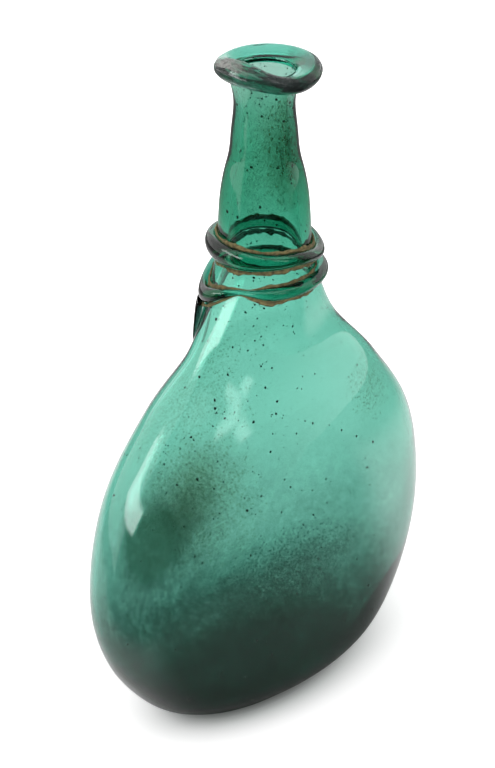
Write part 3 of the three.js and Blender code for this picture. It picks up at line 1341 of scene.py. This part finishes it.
@dataclass
class Trails:
    """The two trails wound round the root of the neck, and the drop in which the lower one ends.

    The rows of drop shares hold the share of the drop's length, of its width and of its thickness.
    """

    outline: Outline
    thickness: float = 4.3 * MM
    upper_swell: float = 3.2 * MM
    lower_swell: float = 2.2 * MM
    lower_thin: float = 2.7 * MM
    upper_rise: float = 4.3 * MM
    upper_dip: float = 3 * MM
    lower_fall: float = 6.6 * MM
    bead_sag: float = 5.8 * MM
    bead_slump: float = 0.8 * MM
    drop_length: float = 15.3 * MM
    drop_width: float = 6 * MM
    drop_thickness: float = 2.4 * MM
    bead = Place(144, 44)
    sag = Place(144, 58)
    swelling = Place(172, 105)
    run_out = Place(201, 34)
    dip = Place(316, 62)
    stand_share: float = 0.94
    seat_share: float = 0.42
    pole_ring: float = 0.05 * MM
    drop_shares = (
        (0, 0.6, 0.85), (0.2, 0.92, 1), (0.42, 1, 0.9),
        (0.66, 0.84, 0.68), (0.87, 0.5, 0.42), (1, 0.14, 0.16),
    )
    sides: int = 22
    steps: int = 132
    drop_rings: int = 22
    drop_sides: int = 24

    def section(self, angle: float, height: float, thickness: float, standing: float) -> Section:
        """A trail's section in one direction.

        Args:
            angle: The direction, in radians.
            height: The height of its middle.
            thickness: How tall it is.
            standing: How far it would stand from the neck if it were round.

        Returns:
            The section.
        """
        stand = standing * self.stand_share
        middle = self.outline.radius(angle, height) + SEAT_GAP + stand * self.seat_share
        return Section(height, middle, thickness / 2, stand * (1 - self.seat_share))

    def upper(self, angle: float) -> Section:
        """The upper trail's section in a direction.

        Args:
            angle: The direction, in radians.

        Returns:
            The section.
        """
        height = self.outline.root_height + self.upper_rise - self.upper_dip * self.dip.near(angle)
        thickness = self.thickness + self.upper_swell * self.swelling.near(angle)
        return self.section(angle, height, thickness, self.thickness)

    def lower(self, angle: float) -> Section:
        """The lower trail's section in a direction.

        Args:
            angle: The direction, in radians.

        Returns:
            The section.
        """
        height = self.outline.root_height - self.lower_fall - self.bead_sag * self.sag.near(angle)
        plain = self.thickness - self.lower_thin * self.run_out.near(angle)
        bead = self.bead.near(angle)
        return self.section(angle, height, plain + self.lower_swell * bead, plain - self.bead_slump * bead)

    def wind(self, name: str, section_at: Callable[[float], Section]) -> bpy.types.Object:
        """Winds one trail: a spun ring, pulled to its own section all round and flat on the neck.

        Args:
            name: The piece's name.
            section_at: Gives the section in a direction.

        Returns:
            The piece.
        """
        line = self.outline

        def place_of(angle: float, around: float) -> Vector:
            """A place of the section, never inside the neck."""
            cut = section_at(angle)
            height = cut.height + cut.tall * math.sin(around)
            seat = line.radius(angle, height) + SEAT_GAP
            return line.polar(max(cut.middle + cut.deep * math.cos(around), seat), angle, height)

        middle = line.axis(section_at(0).height)
        radius = line.root_radius + self.thickness
        piece = pulled_ring(name, radius, self.thickness / 2, middle, self.sides, self.steps, place_of)
        refine(piece)
        store(piece, "fused", lambda vertex: self.fused(vertex.co))
        return piece

    def fused(self, place: Vector) -> float:
        """Above 0 where a trail lies on the neck."""
        radius, angle = self.outline.unroll(place)
        return SEAT_GAP + SEAT_REACH - (radius - self.outline.radius(angle, place.z))

    def cover(self, angle: float, height: float) -> float:
        """How far inside the trails' seats a place of the neck lies, below 0 outside them.

        Args:
            angle: The place's direction, in radians.
            height: Its height.

        Returns:
            The distance.
        """
        surface = self.outline.radius(angle, height) + SEAT_GAP
        found = -MM
        for cut in (self.upper(angle), self.lower(angle)):
            off = abs(height - cut.height)
            inner = cut.middle - cut.deep * math.sqrt(max(1 - (off / cut.tall) ** 2, 0))
            found = max(found, min(cut.tall - off, surface - inner))
        return found

    def under(self, angle: float, radius: float) -> float:
        """Height of the lower trail's underside at a distance from the middle line.

        Args:
            angle: The direction, in radians.
            radius: The distance.

        Returns:
            The height.
        """
        cut = self.lower(angle)
        off = min(abs(radius - cut.middle) / cut.deep, 1)
        return cut.height - cut.tall * math.sqrt(1 - off * off)

    def drop(self) -> bpy.types.Object:
        """Models the drop: a tube drawn down from the bead and laid along the shoulder.

        Returns:
            The piece.
        """
        line = self.outline
        profile = Curve([Vector(row) for row in self.drop_shares])
        middle = math.radians(self.bead.at)
        bead = self.lower(middle)
        top = bead.height - bead.tall
        tip = top - self.drop_length
        tube = DrawnTube("trail_drop_glass", self.drop_sides, Ring(self.pole_ring, self.pole_ring, 0, 0))
        for row in range(self.drop_rings + 1):
            tube.draw(Ring(MM, MM, 0, (row + 1) * MM))
        piece = tube.close((self.drop_rings + 2) * MM)
        for vertex in piece.data.vertices:
            row = min(max(round(vertex.co.z / MM) - 1, 0), self.drop_rings)
            at_pole = vertex.co.xy.length < MM / 2
            around = math.atan2(vertex.co.x, vertex.co.y)
            along, wide, thick = profile.point(1 - row / self.drop_rings)
            sideways = 0.0 if at_pole else math.sin(around)
            outwards = 0.0 if at_pole else math.cos(around)
            plain = mix(top, tip, along)
            across = self.drop_width / 2 * wide * sideways
            angle = middle + across / line.radius(middle, plain)
            stand = self.drop_thickness * thick / 2 * (1 + outwards)
            radius = line.radius(angle, plain) + SEAT_GAP + stand
            height = mix(self.under(angle, radius) - SEAT_GAP, tip, along)
            vertex.co = line.polar(max(radius, line.radius(angle, height) + SEAT_GAP), angle, height)
        face_outwards(piece)
        refine(piece)
        store(piece, "fused", lambda vertex: -MM)
        return piece


@dataclass
class Soil:
    """Earth left in the crevices between the trails and the neck.

    The swells are how many there are round the neck and how much they thicken or thin the earth.
    """

    outline: Outline
    trails: Trails
    spread_over: float = 1.25 * MM
    spread_under: float = 1.3 * MM
    reach_over: float = 0.95
    reach_under: float = 1.34
    stand: float = 1.1 * MM
    least_stand: float = 0.35
    gap: float = 0.03 * MM
    usual: float = 0.85
    least: float = 0.1
    swells = ((9, 0.45), (40, 0.3))
    crumb_waves = (70, 3)
    crumb_across: float = 0.3
    crumb_out: float = 0.35
    sides: int = 12
    steps: int = 220

    def amount(self, angle: float, seed: float) -> float:
        """How much earth is left in a direction, from 0.1 to about 1.4.

        Args:
            angle: The direction, in radians.
            seed: Picks the line in which the earth varies.

        Returns:
            The amount, where 1 is plenty.
        """
        amount = self.usual
        for row, (waves, share) in enumerate(self.swells):
            amount += share * wander(angle, seed + 5 * row, waves)
        return max(amount, self.least)

    def crevice(
        self, name: str, section_at: Callable[[float], Section], side: int, seed: float, bare: Place
    ) -> bpy.types.Object:
        """Lays a ragged ring of earth along one edge of a trail.

        Args:
            name: The piece's name.
            section_at: The trail's section in a direction.
            side: 1 for the upper edge and -1 for the lower.
            seed: Picks the line in which the earth thins and thickens.
            bare: Where the earth has gone.

        Returns:
            The piece.
        """
        line = self.outline
        spread = self.spread_over if side > 0 else self.spread_under
        reach = self.reach_over if side > 0 else self.reach_under
        along, across = self.crumb_waves

        def place_of(angle: float, around: float) -> Vector:
            """A place of the ring, which touches neither the trail nor the neck."""
            cut = section_at(angle)
            amount = mix(self.amount(angle, seed), self.least, bare.near(angle))
            crumb = noise.noise(Vector((along * angle / TURN, across * around, seed + 9)))
            off = side * cut.tall * reach + spread * amount * (math.sin(around) + self.crumb_across * crumb)
            thick = self.stand * (self.least_stand + (1 - self.least_stand) * min(amount, 1))
            radius = line.radius(angle, cut.height + off)
            radius += thick * (1 + math.cos(around) + self.crumb_out * crumb) / 2
            inside = min(abs(radius - cut.middle) / cut.deep, 1)
            rim = cut.tall * math.sqrt(1 - inside * inside) + self.gap
            off = side * max(side * off, rim)
            seat = line.radius(angle, cut.height + off) + self.gap
            return line.polar(max(radius, seat), angle, cut.height + off)

        middle = line.axis(section_at(0).height)
        radius = line.root_radius + self.stand
        return pulled_ring(name, radius, spread, middle, self.sides, self.steps, place_of)

    def build(self) -> list[bpy.types.Object]:
        """Lays the earth along both edges of both trails.

        Returns:
            The pieces.
        """
        trails = self.trails
        whole = Place(0, 0.01)  # no bare place to speak of
        return [
            self.crevice("soil_over_upper_trail", trails.upper, 1, 1.3, whole),
            self.crevice("soil_under_upper_trail", trails.upper, -1, 8.1, whole),
            self.crevice("soil_over_lower_trail", trails.lower, 1, 15.7, Place(207, 40)),
            self.crevice("soil_under_lower_trail", trails.lower, -1, 21.4, Place(196, 22)),
        ]


@dataclass
class Inclusions:
    """Grains of ash caught in the wall of the bubble when the glass was gathered.

    The shares are what part of the grains lies in the body, then in the body or the neck, and then in
    either or near the edge. The rest lies at one shoulder.
    """

    outline: Outline
    count: int = 1500
    seed: int = 11
    least: float = 0.12 * MM
    spread: float = 0.4 * MM
    fineness: int = 5
    wall: float = 2.3 * MM
    depths = (0.25, 0.75)
    skin: float = 0.2 * MM
    shares = (0.5, 0.72, 0.82)
    lowest: float = 0.12
    edge_share: float = 0.1
    shoulder_lowest: float = 0.55
    shoulder_degrees = (215, 22)
    corner_jitter: float = 0.35
    grain_sizes = (1, 0.8, 1.3)

    def grain(self) -> bpy.types.Object:
        """Models one grain: a small crumb with uneven corners.

        Returns:
            The crumb, 1 m in radius.
        """
        deselect()
        bpy.ops.mesh.primitive_ico_sphere_add(subdivisions=1, radius=1)
        piece = name_active("ash_grains")
        bpy.ops.object.mode_set(mode="EDIT")
        bpy.ops.mesh.select_all(action="SELECT")
        bpy.ops.transform.vertex_random(offset=self.corner_jitter, seed=self.seed)
        bpy.ops.transform.resize(value=self.grain_sizes, center_override=(0, 0, 0))
        bpy.ops.object.mode_set(mode="OBJECT")
        face_outwards(piece)
        return piece

    def spot(self, pick: random.Random) -> tuple[float, float]:
        """A direction and a height on the flask, closer together at the neck and at one shoulder.

        Args:
            pick: Draws the numbers.

        Returns:
            The direction, in radians, and the height.
        """
        line = self.outline
        body, neck, edge = self.shares
        share = pick.random()
        if share < body:
            return pick.uniform(0, TURN), pick.uniform(self.lowest, 1) * line.root_height
        if share < neck:
            return pick.uniform(0, TURN), pick.uniform(line.root_height, line.edge_height)
        if share < edge:
            angle = pick.uniform(0, TURN)
            return angle, line.edge_height - pick.uniform(0, self.edge_share) * line.neck_length
        angle = math.radians(pick.gauss(*self.shoulder_degrees))
        return angle, pick.uniform(self.shoulder_lowest, 1) * line.root_height

    def build(self) -> bpy.types.Object:
        """Copies the grain through the wall and joins the copies.

        Returns:
            The piece.
        """
        line = self.outline
        first = self.grain()
        pick = random.Random(self.seed)
        grains = []
        for _ in range(self.count):
            angle, height = self.spot(pick)
            size = self.least + self.spread * pick.random() ** self.fineness
            depth = pick.uniform(*self.depths) * self.wall + self.skin
            grain = first.copy()
            grain.data = first.data.copy()
            bpy.context.scene.collection.objects.link(grain)
            spin = Matrix.Rotation(pick.uniform(0, TURN), 4, Vector((pick.random(), pick.random(), 1)))
            place = Matrix.Translation(line.polar(line.radius(angle, height) - depth, angle, height))
            grain.data.transform(place @ Matrix.Scale(size, 4) @ spin)
            grains.append(grain)
        bpy.data.objects.remove(first)
        deselect()
        for grain in grains:
            grain.select_set(True)
        bpy.context.view_layer.objects.active = grains[0]
        bpy.ops.object.join()
        return name_active("ash_grains")


@dataclass(frozen=True)
class Window:
    """A bright window or screen in the room, as the glass mirrors it.

    Its middle and half sizes are angles in degrees, to the right of the camera's own direction and above
    the horizon, its edge is soft over a few degrees, and its brightness is 1 for a white wall.
    """

    azimuth: float
    elevation: float
    wide: float
    tall: float
    soft: float
    bright: float
    tilt: float = 0.0

    def glow(
        self, lay: Tree, azimuth: bpy.types.NodeSocket, elevation: bpy.types.NodeSocket
    ) -> bpy.types.NodeSocket:
        """Lays the nodes that light the window.

        Args:
            lay: The world's tree.
            azimuth: The direction looked in, in radians.
            elevation: Its height above the horizon, in radians.

        Returns:
            The window's light in that direction.
        """
        light: object = self.bright
        along = lay.maths("SUBTRACT", azimuth, math.radians(self.azimuth))
        up = lay.maths("SUBTRACT", elevation, math.radians(self.elevation))
        turn = math.radians(self.tilt)
        sides = ((self.wide, math.cos(turn), math.sin(turn)), (self.tall, -math.sin(turn), math.cos(turn)))
        for half, first, second in sides:
            off = lay.maths("MULTIPLY_ADD", along, first, lay.maths("MULTIPLY", up, second))
            off = lay.maths("ABSOLUTE", off)
            edge = lay.ramp(off, math.radians(half + self.soft), math.radians(half - self.soft))
            light = lay.maths("MULTIPLY", edge, light)
        return light


@dataclass
class Studio:
    """The white table, the lamp, the pale room and the camera.

    The glass mirrors a table and a room with tones of their own, and the mirrored table is painted dark
    toward the camera, as painted shade. Each field that ends in rise holds the distances, in metres from the
    flask, between which one tone of the table gives way to the next, and that of the painted contact shadow
    holds shares of its half sizes. Each field that ends in blur holds how far the dark end of the room fades,
    in radians, outside and inside its border.
    """

    camera_azimuth: float = math.radians(-46)
    camera_elevation: float = math.radians(29.153)
    camera_distance: float = 0.85
    aim_height: float = 0.12
    focal_pixels: float = 2479.5
    frame_pixels: tuple[int, int] = (495, 768)
    aim_pixel: tuple[float, float] = (264.46, 377.12)
    sensor: float = 36.0
    table_front: float = 0.27
    table_back: float = 1.3
    table_side: float = 1.2
    table_white: float = 0.74
    table_shown: float = 1.85
    contact: tuple[float, float] = (0.036, 0.018)
    contact_rise: tuple[float, float] = (0.8, 1.35)
    contact_dark: float = 0.3
    table_mirror: tuple[float, float, float] = (1.25, 0.35, 0.08)
    toward_rise: tuple[float, float] = (-0.07, -0.01)
    aside_rise: tuple[float, float] = (-0.06, -0.01)
    front_rise: tuple[float, float] = (0.07, 0.13)
    dim_rise: tuple[float, float] = (0.09, 0.2)
    lost_rise: tuple[float, float] = (0.25, 0.5)
    lost_share: float = 0.75
    away_rise: tuple[float, float] = (0.08, 0.3)
    away_glow: float = 0.5
    bent_glow: float = 0.12
    room_sides: tuple[float, float] = (math.radians(-63), math.radians(80))
    left_blur: tuple[float, float] = (0.04, 0.04)
    right_blur: tuple[float, float] = (0.6, 0.45)
    room_top: float = math.radians(52)
    top_blur: float = 0.15
    room_white: float = 1.2
    room_dark: float = 0.024
    room_plain: float = 0.8
    plain_depth: float = 2.5
    ambient: float = 0.96
    windows: tuple[Window, ...] = (
        Window(-68, 22, 25, 7.5, 2, 6.5, -10),
        Window(-84, 33, 9, 5, 2.5, 3.5),
        Window(31, 36.5, 11, 4, 3, 2.6),
        Window(43, 26, 4.5, 7, 3, 2.6, 22),
    )

    def direction(self, azimuth: float, elevation: float) -> Vector:
        """A direction from the flask, turned to the picture's right from the camera's own direction.

        Args:
            azimuth: How far it is turned, in radians.
            elevation: Its height above the horizon, in radians.

        Returns:
            The direction.
        """
        turn = self.camera_azimuth + azimuth
        level = Vector((math.sin(turn), -math.cos(turn), 0))
        return level * math.cos(elevation) + Vector((0, 0, math.sin(elevation)))

    def bearings(self, lay: Tree, way: bpy.types.NodeSocket) -> list[bpy.types.NodeSocket]:
        """How far a place or a direction lies toward the camera, and how far to the picture's right."""
        return [lay.vector("DOT_PRODUCT", way, tuple(self.direction(turn, 0))) for turn in (0, math.pi / 2)]

    def camera(self, shift: float) -> None:
        """Places the camera at the photograph's angle.

        Args:
            shift: How far the neck stands to +X of the body's middle.
        """
        data = bpy.data.cameras.new("camera")
        data.sensor_width = self.sensor
        data.lens = self.focal_pixels * self.sensor / max(self.frame_pixels)
        data.shift_x = (self.frame_pixels[0] / 2 - self.aim_pixel[0]) / max(self.frame_pixels)
        data.shift_y = (self.aim_pixel[1] - self.frame_pixels[1] / 2) / max(self.frame_pixels)
        camera = bpy.data.objects.new("camera", data)
        bpy.context.scene.collection.objects.link(camera)
        back = self.direction(0, self.camera_elevation)
        camera.location = Vector((shift, 0, self.aim_height)) + back * self.camera_distance
        camera.rotation_euler = back.to_track_quat("Z", "Y").to_euler()
        bpy.context.scene.camera = camera

    def lamp(
        self, name: str, azimuth: float, elevation: float, distance: float, size: tuple[float, float],
        radiance: float,
    ) -> None:
        """A flat rectangular lamp that faces the flask.

        Args:
            name: The lamp's name.
            azimuth: Its direction to the picture's right, in degrees.
            elevation: Its height above the horizon, in degrees.
            distance: Its distance from the flask.
            size: Its width and height.
            radiance: How bright its face is, where 1 is a white wall.
        """
        data = bpy.data.lights.new(name, "AREA")
        data.shape = "RECTANGLE"
        data.size, data.size_y = size
        data.energy = radiance * math.pi * size[0] * size[1]
        lamp = bpy.data.objects.new(name, data)
        bpy.context.scene.collection.objects.link(lamp)
        way = self.direction(math.radians(azimuth), math.radians(elevation))
        lamp.location = Vector((0, 0, self.aim_height)) + way * distance
        lamp.rotation_euler = way.to_track_quat("Z", "Y").to_euler()
        lamp.visible_camera = False
        lamp.visible_glossy = False
        lamp.visible_transmission = False

    def table(self) -> None:
        """The white table top, with its front edge near the flask and the rest behind it."""
        deselect()
        bpy.ops.mesh.primitive_plane_add(size=2)
        table = name_active("table")
        bpy.ops.object.mode_set(mode="EDIT")
        bpy.ops.mesh.select_all(action="SELECT")
        half = (self.table_front + self.table_back) / 2
        bpy.ops.transform.resize(value=(self.table_side, half, 1), center_override=(0, 0, 0))
        bpy.ops.transform.translate(value=(0, self.table_back - half, 0))
        bpy.ops.mesh.subdivide(number_cuts=3)
        bpy.ops.object.mode_set(mode="OBJECT")
        table.data.transform(Matrix.Rotation(self.camera_azimuth, 4, "Z"))
        table.data.materials.append(self.table_top())

    def mirrored_table(self, lay: Tree, place: bpy.types.NodeSocket) -> bpy.types.NodeSocket:
        """How bright the glass mirrors the table at a place, with painted shade: dark toward the camera and
        faded far off.

        Args:
            lay: The material's tree.
            place: Object coordinates of the table.

        Returns:
            The brightness, where 1 is the plain table.
        """
        bright, near, beyond = self.table_mirror
        toward, aside = self.bearings(lay, place)
        far = lay.vector("LENGTH", place)
        facing = lay.ramp(toward, *self.toward_rise)
        facing = lay.maths("MULTIPLY", facing, lay.ramp(aside, *self.aside_rise))
        facing = lay.maths("MAXIMUM", facing, lay.ramp(toward, *self.front_rise))
        # painted shade: toward the camera the mirrored table is dark, and darker still farther from the flask
        painted_shade = lay.maths("MULTIPLY_ADD", lay.ramp(far, *self.dim_rise), beyond - near, near)
        lost = lay.maths("MULTIPLY", lay.ramp(far, *self.lost_rise), self.lost_share)
        open_table = lay.maths("MULTIPLY", lay.maths("SUBTRACT", 1.0, lost), bright)
        return lay.between(facing, open_table, painted_shade)

    def table_top(self) -> bpy.types.Material:
        """The table's paint: plain white for the camera, toned for what the glass mirrors and bends, and with
        a painted contact shadow.

        Returns:
            The material.
        """
        made, lay = new_material("white_table")
        path = lay.add("ShaderNodeLightPath").outputs
        place = lay.place()
        outside = lay.maths("LESS_THAN", path["Transmission Depth"], 0.5)
        first = lay.maths("MULTIPLY", outside, path["Is Glossy Ray"])
        gain = lay.between(first, 1.0, self.mirrored_table(lay, place))
        shown = lay.between(path["Is Camera Ray"], gain, self.table_shown)
        # painted contact shadow: the table darkens in an oval under the flask, for every ray
        oval = lay.vector("MULTIPLY", place, (1 / self.contact[0], 1 / self.contact[1], 0))
        under = lay.ramp(lay.vector("LENGTH", oval), *self.contact_rise)
        under = lay.maths("MULTIPLY_ADD", under, 1 - self.contact_dark, self.contact_dark)
        white = lay.maths("MULTIPLY", lay.maths("MULTIPLY", shown, self.table_white), under)
        tone = lay.add("ShaderNodeCombineColor")
        for socket in tone.inputs:
            lay.feed(socket, white)
        seen = lay.maths("MAXIMUM", path["Is Glossy Ray"], path["Is Transmission Ray"])
        seen = lay.maths("MULTIPLY", seen, lay.maths("SUBTRACT", 1.0, first))
        away = lay.ramp(lay.vector("LENGTH", place), *self.away_rise)
        shine = lay.maths("MULTIPLY", lay.maths("MULTIPLY", away, path["Is Camera Ray"]), self.away_glow)
        glint = lay.maths("MULTIPLY", lay.maths("MULTIPLY_ADD", seen, self.bent_glow, shine), under)
        paint = lay.fill(lay.add("ShaderNodeBsdfDiffuse"), {"Color": tone.outputs[0]})
        glow = lay.fill(lay.add("ShaderNodeEmission"), {"Strength": glint})
        both = lay.add("ShaderNodeAddShader")
        lay.feed(both.inputs[0], paint.outputs["BSDF"])
        lay.feed(both.inputs[1], glow.outputs["Emission"])
        lay.fill(lay.add("ShaderNodeOutputMaterial"), {"Surface": both.outputs["Shader"]})
        return made

    def dark_end(
        self, lay: Tree, azimuth: bpy.types.NodeSocket, elevation: bpy.types.NodeSocket
    ) -> bpy.types.NodeSocket:
        """The dark end of the room, where the camera stands.

        Args:
            lay: The world's tree.
            azimuth: The direction looked in, in radians.
            elevation: Its height above the horizon, in radians.

        Returns:
            How dark the room is in that direction, from 0 to 1.
        """
        left, right = self.room_sides
        past_left = lay.ramp(azimuth, left - self.left_blur[0], left + self.left_blur[1])
        before_right = lay.ramp(azimuth, right + self.right_blur[0], right - self.right_blur[1])
        below_top = lay.ramp(elevation, self.room_top + self.top_blur, self.room_top - self.top_blur)
        return lay.maths("MULTIPLY", lay.maths("MULTIPLY", past_left, before_right), below_top)

    def room(self) -> None:
        """The pale room as the world: white all round, with the dark end where the camera stands."""
        world = bpy.data.worlds.new("pale_room")
        bpy.context.scene.world = world
        world.use_nodes = True
        world.node_tree.nodes.clear()
        lay = Tree(world.node_tree)
        path = lay.add("ShaderNodeLightPath").outputs
        way = lay.add("ShaderNodeTexCoord").outputs["Generated"]
        front, right = self.bearings(lay, way)
        azimuth = lay.maths("ARCTAN2", right, front)
        elevation = lay.maths("ARCSINE", lay.axis(way, "Z"))
        dark = self.dark_end(lay, azimuth, elevation)
        mirrored = lay.maths("MULTIPLY_ADD", dark, self.room_dark - self.room_white, self.room_white)
        for window in self.windows:
            mirrored = lay.maths("MAXIMUM", mirrored, window.glow(lay, azimuth, elevation))
        first_walls = lay.maths("LESS_THAN", path["Transmission Depth"], self.plain_depth)
        shine = lay.between(first_walls, self.room_plain, mirrored)
        polished = lay.maths("MAXIMUM", path["Is Glossy Ray"], path["Is Transmission Ray"])
        strength = lay.between(polished, self.ambient, shine)
        seen = lay.between(path["Is Camera Ray"], strength, 1.0)
        glow = lay.fill(lay.add("ShaderNodeBackground"), {"Color": WHITE, "Strength": seen})
        lay.fill(lay.add("ShaderNodeOutputWorld"), {"Surface": glow.outputs["Background"]})

    def build(self, shift: float) -> None:
        """Sets up the whole studio.

        Args:
            shift: How far the neck stands to +X of the body's middle.
        """
        self.camera(shift)
        self.table()
        self.room()
        self.lamp("soft_lamp", azimuth=-30, elevation=50, distance=1.5, size=(1.6, 1.6), radiance=1.4)
        scene = bpy.context.scene
        scene.view_settings.view_transform = "Standard"
        scene.cycles.caustics_refractive = False


SLOW = (45, 45, 45)  # broad waves for a patch with a calm edge
BUBBLE_GLASS = Glass(
    name="bubble_glass",
    fade_colour=(0.055, 0.785, 0.6425),
    fade_density=320,
    roughness=0.03,
    shadow=(0.86, 0.86, 0.86),
    film=True,
    haze=(0.94, 0.96, 0.93),
    neck_tint=(0.62, 0.62, 0.56),
    patches=(
        Patch((-0.034, 0, 0.128), (0.028, 0.022, 0.034), (0.25, 0.25, 0.1), 0.52, 0.8, (80, 80, 70), 0.97),
        Patch((-0.066, -0.012, 0.087), (0.02, 0.014, 0.021), (0.06, 0.16, 0.1), 0.88, 0.5, SLOW, 0),
        Patch((-0.058, -0.013, 0.097), (0.021, 0.015, 0.021), (0.1, 0.11, 0.055), 0.64, 0.6, SLOW, 0),
        Patch((-0.048, -0.016, 0.107), (0.019, 0.015, 0.02), (0.2, 0.18, 0.09), 0.8, 0.7, SLOW, 0.2),
        Patch((-0.048, -0.018, 0.098), (0.028, 0.022, 0.03), (0.4, 0.3, 0.15), 0.8, 0.8, (70, 70, 70), 0.7),
        Patch((0.036, -0.021, 0.113), (0.02, 0.011, 0.014), (0.3, 0.2, 0.1), 0.85, 0.7, (75, 75, 75), 0.85),
        Patch((0.06, -0.014, 0.058), (0.022, 0.022, 0.028), (0.25, 0.2, 0.17), 0.8, 0.7, (80, 80, 80), 0.6),
        Patch((0.006, -0.005, 0.203), (0.008, 0.009, 0.036), (0.45, 0.34, 0.16), 0.8, 0.9, (75, 75, 30), 0.4),
    ),
    gleam=0.5,
)
LIP_GLASS = Glass(
    name="lip_glass",
    fade_colour=(0.08, 0.76, 0.64),
    fade_density=420,
    roughness=0.1,
    shadow=(0.8, 0.8, 0.8),
)
TRAIL_GLASS = Glass(
    name="trail_glass",
    fade_colour=(0.12, 0.7, 0.6),
    fade_density=820,
    roughness=0.05,
    shadow=(0.8, 0.8, 0.8),
)
DARK_GLASS = Glass(
    name="dark_glass",
    fade_colour=(0.26, 0.25, 0.2),
    fade_density=2600,
    roughness=0.05,
    shadow=(0.5, 0.5, 0.5),
)
EARTH = Grit("dry_earth", (0.21, 0.17, 0.072), (0.06, 0.05, 0.022), 0.85, 900)
CRUST = Grit(
    name="weathered_skin",
    light=(0.5, 0.5, 0.47),
    dark=(0.2, 0.2, 0.19),
    roughness=0.6,
    waves=900,
    patches=(
        Patch((-0.0122, 0.004, 0.2365), (0.0068, 0.0112, 0.0055), (0, 0, 0), 0.75, 0.7, (240, 240, 240), 0.5),
    ),
)
RESIDUE = Grit(
    name="dried_residue",
    light=(0.095, 0.085, 0.068),
    dark=(0.022, 0.021, 0.02),
    roughness=0.8,
    waves=420,
    film=True,
    relief=0.04 * MM,
    patches=(
        Patch((-0.02, -0.03, 0.064), (0.036, 0.016, 0.019), (0, 0, 0), 0.65, 0.7, (75, 75, 75), 0.85),
        Patch((-0.048, -0.024, 0.056), (0.034, 0.02, 0.02), (0, 0, 0), 0.3, 0.8, (60, 60, 60), 0.8),
    ),
)
NECK_STAIN = Grit(
    name="neck_stain",
    light=(0.95, 0.55, 0.25),
    dark=(0.5, 0.27, 0.11),
    roughness=0.85,
    waves=700,
    patches=(
        Patch((0.0028, -0.0085, 0.207), (0.009, 0.0065, 0.022), (0, 0, 0), 0.52, 0.9, (70, 70, 40), 0.5),
        Patch((-0.001, -0.004, 0.204), (0.012, 0.009, 0.028), (0, 0, 0), 0.25, 0.9, (110, 110, 60), 0.8),
    ),
)
# Painted shade: a near-black sheet over the front and right of the lip's roll, darkening the roll as if its
# thick glass lay in shade.
LIP_SHADE_SHEET = Grit(
    name="painted_lip_shade",
    light=(0.03, 0.045, 0.042),
    dark=(0.012, 0.02, 0.018),
    roughness=0.25,
    waves=300,
    patches=(
        Patch((-0.006, -0.011, 0.2335), (0.016, 0.012, 0.0075), (0, 0, 0), 0.4, 0.6, (40, 40, 40), 0),
        Patch((0.016, -0.009, 0.234), (0.009, 0.015, 0.008), (0, 0, 0), 0.5, 0.6, (40, 40, 40), 0),
        Patch((-0.0125, 0.004, 0.232), (0.007, 0.013, 0.005), (0, 0, 0), 0.5, 0.6, (40, 40, 40), 0),
    ),
)
ASH = Grit("black_ash", (0.012, 0.014, 0.012), (0.004, 0.005, 0.005), 0.5)


def main() -> None:
    """Builds the flask and its studio, and reports each piece."""
    logging.basicConfig(level=logging.INFO, format="%(name)s %(message)s")
    outline = Outline()
    studio = Studio()
    studio.build(outline.neck_shift)
    bubble_glass = BUBBLE_GLASS.material()
    trail_glass = TRAIL_GLASS.material()
    trails = Trails(outline)
    lip = Lip(outline)

    def cover(angle: float, height: float) -> float:
        """How far inside the seats of the trails and the lip a place of the neck lies."""
        return max(trails.cover(angle, height), lip.cover(angle, height))

    bubble = Bubble(outline, cover)
    dress(bubble.build(), bubble_glass, Slot.BUBBLE, "blown_bubble")
    dress(bubble.residue(), RESIDUE.material(), Slot.BUBBLE)
    dress(bubble.neck_stain(), NECK_STAIN.material(), Slot.BUBBLE)
    dress(lip.build(), LIP_GLASS.material(), Slot.LIP, "rolled_lip")
    # painted shade: a dark sheet laid over the front of the lip's roll
    lip_shade_sheet = lip.crust("painted_lip_shade_sheet", span=(0.3, 0.76), stand=0.01 * MM, thick=0.03 * MM)
    dress(lip_shade_sheet, LIP_SHADE_SHEET.material(), Slot.LIP)
    crust = lip.crust("lip_crust", span=(0.1, 0.5), stand=0.05 * MM, thick=0.05 * MM)
    dress(crust, CRUST.material(), Slot.LIP)
    dress(trails.wind("upper_trail_glass", trails.upper), trail_glass, Slot.TRAIL, "upper_trail")
    dress(trails.wind("lower_trail_glass", trails.lower), trail_glass, Slot.TRAIL, "lower_trail")
    dress(trails.drop(), DARK_GLASS.material(), Slot.DARK, "trail_drop")
    earth = EARTH.material()
    for piece in Soil(outline, trails).build():
        dress(piece, earth, Slot.TRAIL)
    dress(Inclusions(outline).build(), ASH.material(), Slot.BUBBLE)
    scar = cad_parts["pontil_scar"]
    scar.data.materials.clear()
    scar.data.materials.append(bubble_glass)


if __name__ == "__main__":
    main()
